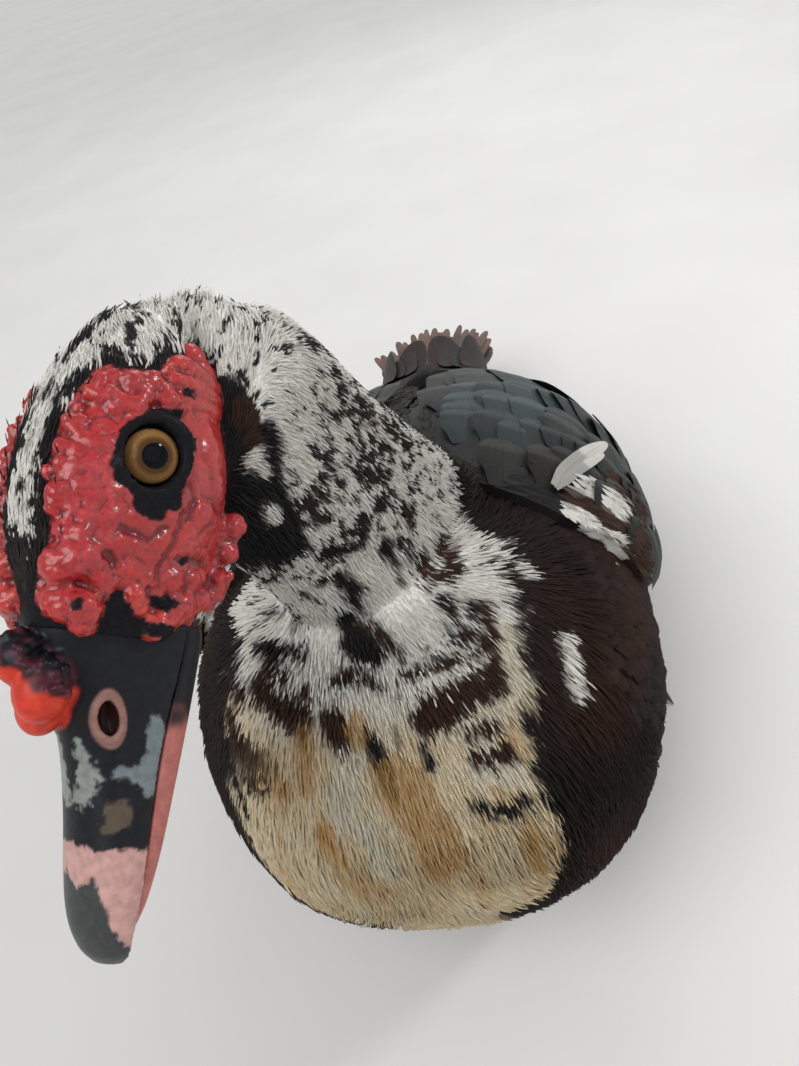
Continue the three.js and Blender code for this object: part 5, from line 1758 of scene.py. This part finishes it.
# The folded wing: its arm over the torso, then tiers of feathers from one place and angle to another
wing = {
    "arm": [[3.7, 26, 52, 4], [4.1, 8, 74, 8], [4.7, -4, 86, 9.5], [5.4, -8, 89.2, 10], [6.3, -6, 89.4, 9.5],
            [7.2, 4, 89.2, 8], [8.1, 20, 87, 6], [8.8, 38, 78, 4]],
    "rim": 3, "sink": 4, "featherSink": 2.2, "roll": 0.10, "underCoverts": 1.4,
    "facts": ("from", "to", "count", "length", "heading", "width", "rise", "least", "tip", "thick"),
    "tiers": [
        ((7.0, 28), (7.3, 50), 7, (138, 155), (9, 2), 26, 2, 7, 0.16, 0.7),  # primaries
        ((5.7, -4), (6.5, 38), 10, (78, 102), (22, 8), 33, 2.4, 4, 0.25, 0.6),  # secondaries
        ((6.1, 46), (6.3, 78), 6, (108, 92), (3, -1), 34, 4, 7, 0.22, 0.7),  # tertials
        ((4.9, -3), (5.5, 76), 13, (54, 60), (14, 0), 29, 2.4, 0, 0.22, 0.55),  # greater coverts
        ((4.35, 6), (4.85, 76), 13, (38, 46), (12, 0), 25, 2.6, 0, 0.22, 0.5),  # median coverts
        ((4.05, 12), (4.45, 72), 12, (28, 34), (10, 0), 21, 2.2, 0, 0.22, 0.45),  # inner coverts
        ((3.75, 20), (4.02, 64), 9, (22, 26), (6, 0), 17, 1.8, 0, 0.22, 0.4),  # lesser coverts
    ],
}
armRows = tableReader(wing["arm"])(np.linspace(0, len(wing["arm"]) - 1, 240))


def wingRise(place, angle):
    low, high, rise = (np.interp(place, armRows[:, 0], armRows[:, k]) for k in (1, 2, 3))
    s = (angle - low) / (high - low)
    return wing["rim"] + (rise - wing["rim"]) * max(0.0, 1 - (2 * s - 1) ** 4)


def skinPath(place, angle, length, heading, lift, roll, steps=18):
    stride = length / (steps - 1)
    points, facings, sides = [], [], []
    for k in range(steps):
        point, out, back, around = overTorso(place, angle, lift(place, math.degrees(angle), k / (steps - 1)))
        way = unit(unit(back) * math.cos(heading) + unit(around) * math.sin(heading))
        facing = out * math.cos(roll) + np.cross(way, out) * math.sin(roll)
        points.append(point)
        facings.append(facing)
        sides.append(unit(np.cross(facing, way)))
        place += stride * math.cos(heading) / np.linalg.norm(back)
        angle += stride * math.sin(heading) / np.linalg.norm(around)
    return {"point": np.array(points), "facing": np.array(facings), "side": np.array(sides)}


def wingArm():
    rings = []
    for row in armRows[::8]:
        ring = []
        for s in np.linspace(0, 1, 15):
            angle = mixed(row[1], row[2], s)
            lift = wingRise(row[0], angle) - wing["underCoverts"]
            ring.append(overTorso(row[0], math.radians(angle), lift)[0])
        for s in np.linspace(1, 0, 8):
            ring.append(overTorso(row[0], math.radians(mixed(row[1], row[2], s)), -wing["sink"])[0])
        rings.append(np.array(ring))
    return loft(rings)


# Colours of the wing and its painted sheen round a few pixels of the picture, each spread over some pixels. The pale
# teal near its top is a painted reflection of the sky.
wingColoursAndSheen = {
    "spread": 24,
    "spots": [
        ("tealSkyReflection", 470, 404), ("tealSkyReflection", 520, 392), ("teal", 560, 402), ("teal", 430, 436), ("green", 452, 462),
        ("bronze", 500, 440), ("bronze", 545, 455), ("bronze", 515, 492), ("green", 598, 446), ("bronze", 460, 500),
        ("black", 545, 522), ("black", 600, 530), ("green", 630, 500), ("teal", 405, 408), ("rust", 395, 358),
        ("brown", 440, 348), ("brown", 480, 356),
    ],
}
whiteFeathers = [  # width in millimetres, pixels along it
    (7.5, 549, 492, 562, 474, 582, 458, 603, 447), (4.5, 548, 497, 566, 480, 584, 467, 600, 458),
]


def wingTones(tip, rng):
    away = lengths(photoPlace(tip)[0] - [spot for _, *spot in wingColoursAndSheen["spots"]])
    share = np.exp(-0.5 * ((away - away.min()) / wingColoursAndSheen["spread"]) ** 2)
    base = (np.array([tone[name] for name, *_ in wingColoursAndSheen["spots"]]) * share[:, None]).sum(axis=0) / share.sum()
    base = mixed(base, tone["bronze"], 0.5 * rng.random() ** 2) * rng.uniform(0.5, 0.85)
    # Painted shade: each feather is darker at its root, and a little darker at its tip, for the shade where the
    # feathers overlap
    return base * 0.55, base, mixed(base, tone["black"], 0.25)


# A feather laid along a line of pixels as seen on a surface
def pixelPath(pixels, surface, lift, steps=14):
    along = np.linspace(0, len(pixels) - 1, steps)
    flat = stacked(*(np.interp(along, range(len(pixels)), pixels[:, k]) for k in range(2)))
    met = [seen(pixel, surface) for pixel in flat]
    outs = np.array([out for _, out in met])
    outs[outs @ viewGaze > 0] *= -1
    facing = np.tile(unit(outs.mean(axis=0)), (steps, 1))
    points = np.array([point for point, _ in met]) + facing * lift
    for _ in range(6):
        points[1:-1] = (points[:-2] + 2 * points[1:-1] + points[2:]) / 4
    way = unit(np.gradient(points, axis=0))
    side = unit(np.cross(facing, way))
    return {"point": points, "facing": unit(np.cross(way, side)), "side": side}


def leftWing():
    rng = np.random.default_rng(31)
    feathers = []
    for row in wing["tiers"]:
        facts = dict(zip(wing["facts"], row))
        for k in range(facts["count"]):
            s = k / (facts["count"] - 1)
            place = mixed(facts["from"][0], facts["to"][0], s) + rng.uniform(-0.16, 0.16)
            angle = mixed(facts["from"][1], facts["to"][1], s) + rng.uniform(-2.2, 2.2)
            length = mixed(*facts["length"], s) * rng.uniform(0.84, 1.05)
            heading = math.radians(mixed(*facts["heading"], s) + rng.uniform(-7, 7))

            def lift(p, a, t):
                high = max(wingRise(p, a), facts["least"])
                return high - wing["featherSink"] + (wing["featherSink"] + facts["rise"]) * min(1, 1.4 * t)

            path = skinPath(place, math.radians(angle), length, heading, lift, wing["roll"] + rng.uniform(-0.04, 0.04))
            width = facts["width"] * rng.uniform(0.9, 1.25)
            shape = tornVane(path, width, facts["thick"], facts["tip"], rng, camber=0.1)
            shape[0][:, 0] = np.maximum(shape[0][:, 0], 0.3)
            feathers.append((shape, wingTones(path["point"][-3], rng), rng.random()))
    surface = bundleSurface(feathers)
    for width, *pixels in whiteFeathers:
        shape = tornVane(pixelPath(pairs(pixels), surface, 2.8), width, 0.6, 0.12, rng, tears=7)
        feathers.append((shape, [tone["white"] * share for share in (0.5, 0.85, 0.9)], rng.random()))
    feathers.append(corePart(wingArm(), "black"))
    return feathers, bundleSurface(feathers)


# Small feathers over the front and lower edges of the wing's arm, and the pale patch in front of it
carpal = {
    "outline": [
        564, 481, 584, 470, 611, 465, 626, 473, 636, 491, 640, 524, 641, 556, 640, 572, 632, 568, 615, 556, 590, 556,
        576, 536, 570, 516, 556, 508, 552, 496,
    ],
    "strokes": [
        ("white", 8.5, 584, 488, 606, 494, 628, 512), ("white", 9.0, 576, 514, 599, 534, 622, 554),
        ("brown", 6.5, 576, 500, 592, 512, 608, 524), ("brown", 4.0, 630, 515, 635, 556),
        ("white", 4.0, 562, 544, 570, 549),
    ],
    "spacing": 4.2, "length": 11.0, "way": (0.85, -0.5), "coverts": 15.0,
}


def makeCoverts(side, name, surface, kit):
    rng = np.random.default_rng(71)
    outline = pairs(carpal["outline"])
    low, high = outline.min(axis=0), outline.max(axis=0)
    steps = stacked(*np.meshgrid(*(np.arange(low[k], high[k], carpal["spacing"]) for k in range(2)))).reshape(-1, 2)
    pixels = steps + rng.uniform(-1.6, 1.6, steps.shape)
    pixels = pixels[polygonGap(pixels, outline, (1, 1)) < 1.5 * rng.normal(0, 1, len(pixels))]
    met = [seen(pixel, surface) for pixel in pixels]
    roots, out = np.array([m[0] for m in met]), unit(np.array([m[1] for m in met]))
    out = np.where(((np.array(view["place"]) - roots) * out).sum(axis=1)[:, None] < 0, -out, out)
    ways = np.tile(viewRight * carpal["way"][0] + viewUp * carpal["way"][1], (len(roots), 1))
    patch = np.tile(mixed(tone["brown"], tone["rust"], 0.04), (len(roots), 1))
    tips = photoPlace(roots + ways * carpal["length"] * 0.6)
    for label, width, *line in carpal["strokes"]:
        gap = strokeGap(tips, pairs(line)) + 2.0 * rng.normal(0, 1, len(tips))
        patch = painted(patch, label, ease(width + 2, width - 2, gap))
    tall = np.full(len(roots), carpal["length"])
    arm = []
    for row in armRows[::6]:
        for s in np.linspace(0.01, 0.99, 22):
            angle = mixed(row[1], row[2], s) + rng.uniform(-1, 1)
            if row[0] < 4.75 or s < 0.2 or s > 0.85:
                lift = wingRise(row[0], angle) - wing["underCoverts"]
                arm.append(overTorso(row[0] + rng.uniform(-0.04, 0.04), math.radians(angle), lift)[:3])
    roots = np.vstack([roots, [a[0] for a in arm]])
    out = np.vstack([out, [a[1] for a in arm]])
    ways = np.vstack([ways, [unit(a[2]) for a in arm]])
    coverts = np.array([wingTones(a[0] + unit(a[2]) * 12, rng)[1] for a in arm])
    colours = np.vstack([patch, mixed(coverts, tone["brown"], 0.45)])
    tall = np.concatenate([tall, np.full(len(arm), carpal["coverts"])]) * rng.uniform(0.85, 1.15, len(roots))
    ways = unit(ways + rng.normal(0, 0.14, ways.shape))
    lie = unit(ways - out * (ways * out).sum(axis=1)[:, None])
    lift = math.radians(9)
    way, facing = lie * math.cos(lift) + out * math.sin(lift), out * math.cos(lift) - lie * math.sin(lift)
    place, angle = torsoPlace(roots)
    flip = np.array([side, 1, 1])
    growCoat(f"coat_wing_{name}", kit["comb"], (roots - out * 0.3) * flip, facing * flip, way * flip, tall, tall,
             [colours * 0.9, colours, colours], angle / 360 + 0.5, place / 10.5)


def makeWings(kit):
    finish = featherMaterial("wingPlumage", barbs=40.0, ragged=0.12, shade=0.35, veins=0.35, metallic=0.2,
                             roughness=0.5, specular=0.2)
    feathers, surface = leftWing()
    for side, name in ((1, "left"), (-1, "right")):
        turned = [((shape[0] * (side, 1, 1),) + tuple(shape[1:]), colours, seed) for shape, colours, seed in feathers]
        made = featherBundle(f"wing_feathers_{name}", turned, finish, 12)
        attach(made, "root")
        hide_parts(f"wing_{name}")
        print(made.name, len(made.data.polygons), "faces")
        makeCoverts(side, name, surface, kit)


# Tail: a core behind the torso, the tail feathers, and the coverts over and under their roots
tail = {
    "core": [[0, 1, 0], [16, 0.9, 1], [34, 0.72, 2], [50, 0.4, 3]],
    "stack": 0.55, "rootX": 15,
    "facts": ("count", "spread", "length", "width", "thick", "rootY", "z", "droop"),
    "tiers": [
        (16, 20, 98, 25, 0.7, 222, 64, -5),  # tail feathers
        (7, 17, 56, 22, 0.5, 216, 74, -8),  # upper coverts
        (6, 15, 44, 20, 0.5, 204, 80, -8),  # the row before them
        (17, 23, 103, 8, 0.5, 221, 66.5, -3),  # narrow split ends
        (8, 17, 60, 22, 0.5, 214, 54, 5),  # under coverts
    ],
}


def makeTail():
    rng = np.random.default_rng(77)
    finish = featherMaterial("tailPlumage", barbs=30.0, ragged=0.15, shade=0.45, veins=0.4, metallic=0.1,
                             roughness=0.5, sheen=0.15)
    feathers = []
    t = np.linspace(0, 1, 14)[:, None]
    for row in tail["tiers"]:
        facts = dict(zip(tail["facts"], row))
        for k in range(facts["count"]):
            s = mixed(-1, 1, k / (facts["count"] - 1))
            turn = math.radians(facts["spread"] * s + rng.uniform(-1.8, 1.8))
            way = np.array([math.sin(turn), math.cos(turn), 0])
            reach = facts["length"] * (1 - 0.12 * s * s) * rng.uniform(0.84, 1.0)
            root = np.array([tail["rootX"] * s, facts["rootY"], facts["z"] - tail["stack"] * abs(s) * 6])
            point = root + way * reach * t
            point[:, 2:] += facts["droop"] * t * t - 3 * s * s * t
            facing = np.tile(unit([0.14 * np.sign(s) * min(1, 3 * abs(s)), 0, 1]), (len(t), 1))
            side = unit(np.cross(facing, way))
            path = {"point": point, "facing": facing, "side": side}
            shape = tornVane(path, facts["width"] * rng.uniform(0.8, 1.1), facts["thick"], 0.2, rng, tears=9)
            base = mixed(tone["brown"], tone["rust"], rng.uniform(0.0, 0.4))
            feathers.append((shape, (tone["black"], base, mixed(base, tone["rust"], 0.3)), rng.random()))
    y, height, half, rise, drop = torso["stations"][-1]
    angles = circle(28)
    rings = []
    for back, share, up in tail["core"]:
        tall = np.where(np.sin(angles) > 0, rise, drop)
        rings.append(stacked(0.92 * half * share * powered(np.cos(angles), 0.9), y + 0.3 + back,
                             height + up + 0.9 * tall * share * powered(np.sin(angles), 0.9)))
    feathers.append(corePart(loft(rings), "brown"))
    made = featherBundle("tail_feathers", feathers, finish, 10)
    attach(made, "root")
    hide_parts("tail")


# Feet: the solids, rounded off, with scales in the finish
def makeFeet():
    scaly, tree, shader = newMaterial("footScales", roughness=0.5, specular=0.5)
    place = objectPlace(tree)
    cells = addNode(tree, "ShaderNodeTexVoronoi", {"Vector": place, "Scale": 420.0}, feature="DISTANCE_TO_EDGE")
    plates = ramp(tree, cells.outputs["Distance"], 0.0, 0.12)
    patchy = noise(tree, place, 60.0, 3.0)
    base = blendColours(tree, ramp(tree, patchy, 0.40, 0.56), (0.30, 0.22, 0.08, 1), (0.07, 0.06, 0.05, 1))
    tree.links.new(blendColours(tree, plates, (0.04, 0.035, 0.025, 1), base), shader.inputs["Base Color"])
    addBump(tree, shader, plates, 0.6, 0.0004)
    horn, tree, shader = newMaterial("clawHorn", roughness=0.35, specular=0.5)
    streak = noise(tree, objectPlace(tree), 500.0, 3.0)
    tree.links.new(blendColours(tree, streak, (0.012, 0.011, 0.010, 1), (0.06, 0.05, 0.04, 1)),
                   shader.inputs["Base Color"])
    for side in ("left", "right"):
        nodes = [("foot_skin", "foot", scaly, f"foot_{side}", voxels["foot"])]
        nodes += [("claw", f"claw_{toe}", horn, f"claw_{side}_{toe}", voxels["claw"])
                  for toe in ("inner", "middle", "outer")]
        for slotName, label, finish, node, voxel in nodes:
            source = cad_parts[node]
            made = bpy.data.objects.new(f"{label}_{side}_fine", source.data.copy())
            made.data.transform(source.matrix_world)
            bpy.context.scene.collection.objects.link(made)
            shape = bmesh.new()
            shape.from_mesh(made.data)
            bmesh.ops.remove_doubles(shape, verts=shape.verts, dist=1e-6)
            shape.to_mesh(made.data)
            shape.free()
            wear(rounded(made, voxel, 3), finish)
            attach(made, "root")
            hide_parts(node)


# Light, floor and camera
lights = {
    "sun": {"way": (0.42, 0.62, -1.0), "angle": 50, "power": 2.3},
    "fill": {"place": (1.2, -1.0, 0.9), "size": 1.4, "power": 3},
    "back": {"place": (0.3, 1.3, 1.2), "size": 1.0, "power": 7},
    "target": (-0.01, -0.09, 0.16),
    "world": 0.42,
    "glint": {"way": (0.79, 0.55, 0.25), "far": 0.9, "size": 0.12, "power": 2.6},
}


def addLight(name, place, way):
    facts = lights[name]
    data = bpy.data.lights.new(name, "AREA" if "size" in facts else "SUN")
    data.energy = facts["power"]
    if "size" in facts:
        data.shape, data.size = "DISK", facts["size"]
    else:
        data.angle = math.radians(facts["angle"])
    made = bpy.data.objects.new(name, data)
    made.location = place
    made.rotation_euler = way.to_track_quat("-Z", "Y").to_euler()
    bpy.context.scene.collection.objects.link(made)


def addStage():
    floor = meshObject("floor", np.array([(-20, -20, 0), (20, -20, 0), (20, 20, 0), (-20, 20, 0)]),
                       [(0, 1, 2, 3)], inScene=False)
    material, tree, shader = newMaterial("paleFloor", roughness=0.85)
    shade = ramp(tree, noise(tree, objectPlace(tree), 6.0, 3.0), 0.2, 0.8, 0.0, 1.0)
    tree.links.new(blendColours(tree, shade, (0.60, 0.59, 0.57, 1), (0.64, 0.63, 0.61, 1)), shader.inputs["Base Color"])
    floor.data.materials.append(material)
    addLight("sun", Vector((0, 0, 0)), Vector(lights["sun"]["way"]))
    for name in ("fill", "back"):
        place = Vector(lights[name]["place"])
        addLight(name, place, Vector(lights["target"]) - place)
    glint = lights["glint"]
    way = viewRight * glint["way"][0] + viewUp * glint["way"][1] - viewGaze * glint["way"][2]
    addLight("glint", Vector(toScene(head["at"]) + unit(way) * glint["far"]), Vector(-way))
    world = bpy.data.worlds.new("softSky")
    world.use_nodes = True
    world.node_tree.nodes["Background"].inputs["Color"].default_value = (0.92, 0.95, 1.0, 1)
    world.node_tree.nodes["Background"].inputs["Strength"].default_value = lights["world"]
    bpy.context.scene.world = world
    bpy.context.scene.view_settings.view_transform = "Standard"


addCamera()
addStage()
print("camera and light ready")
skin = makeSkin()
print("skin ready", len(skin.data.polygons), "faces")
kit, templates = featherKit()
makeCoat(skin, kit)
print("coat ready")
makeEyes()
makeBeak()
print("head ready")
makeWings(kit)
for template in templates:
    discard(template)
makeTail()
makeFeet()
print("wings, tail and feet ready")
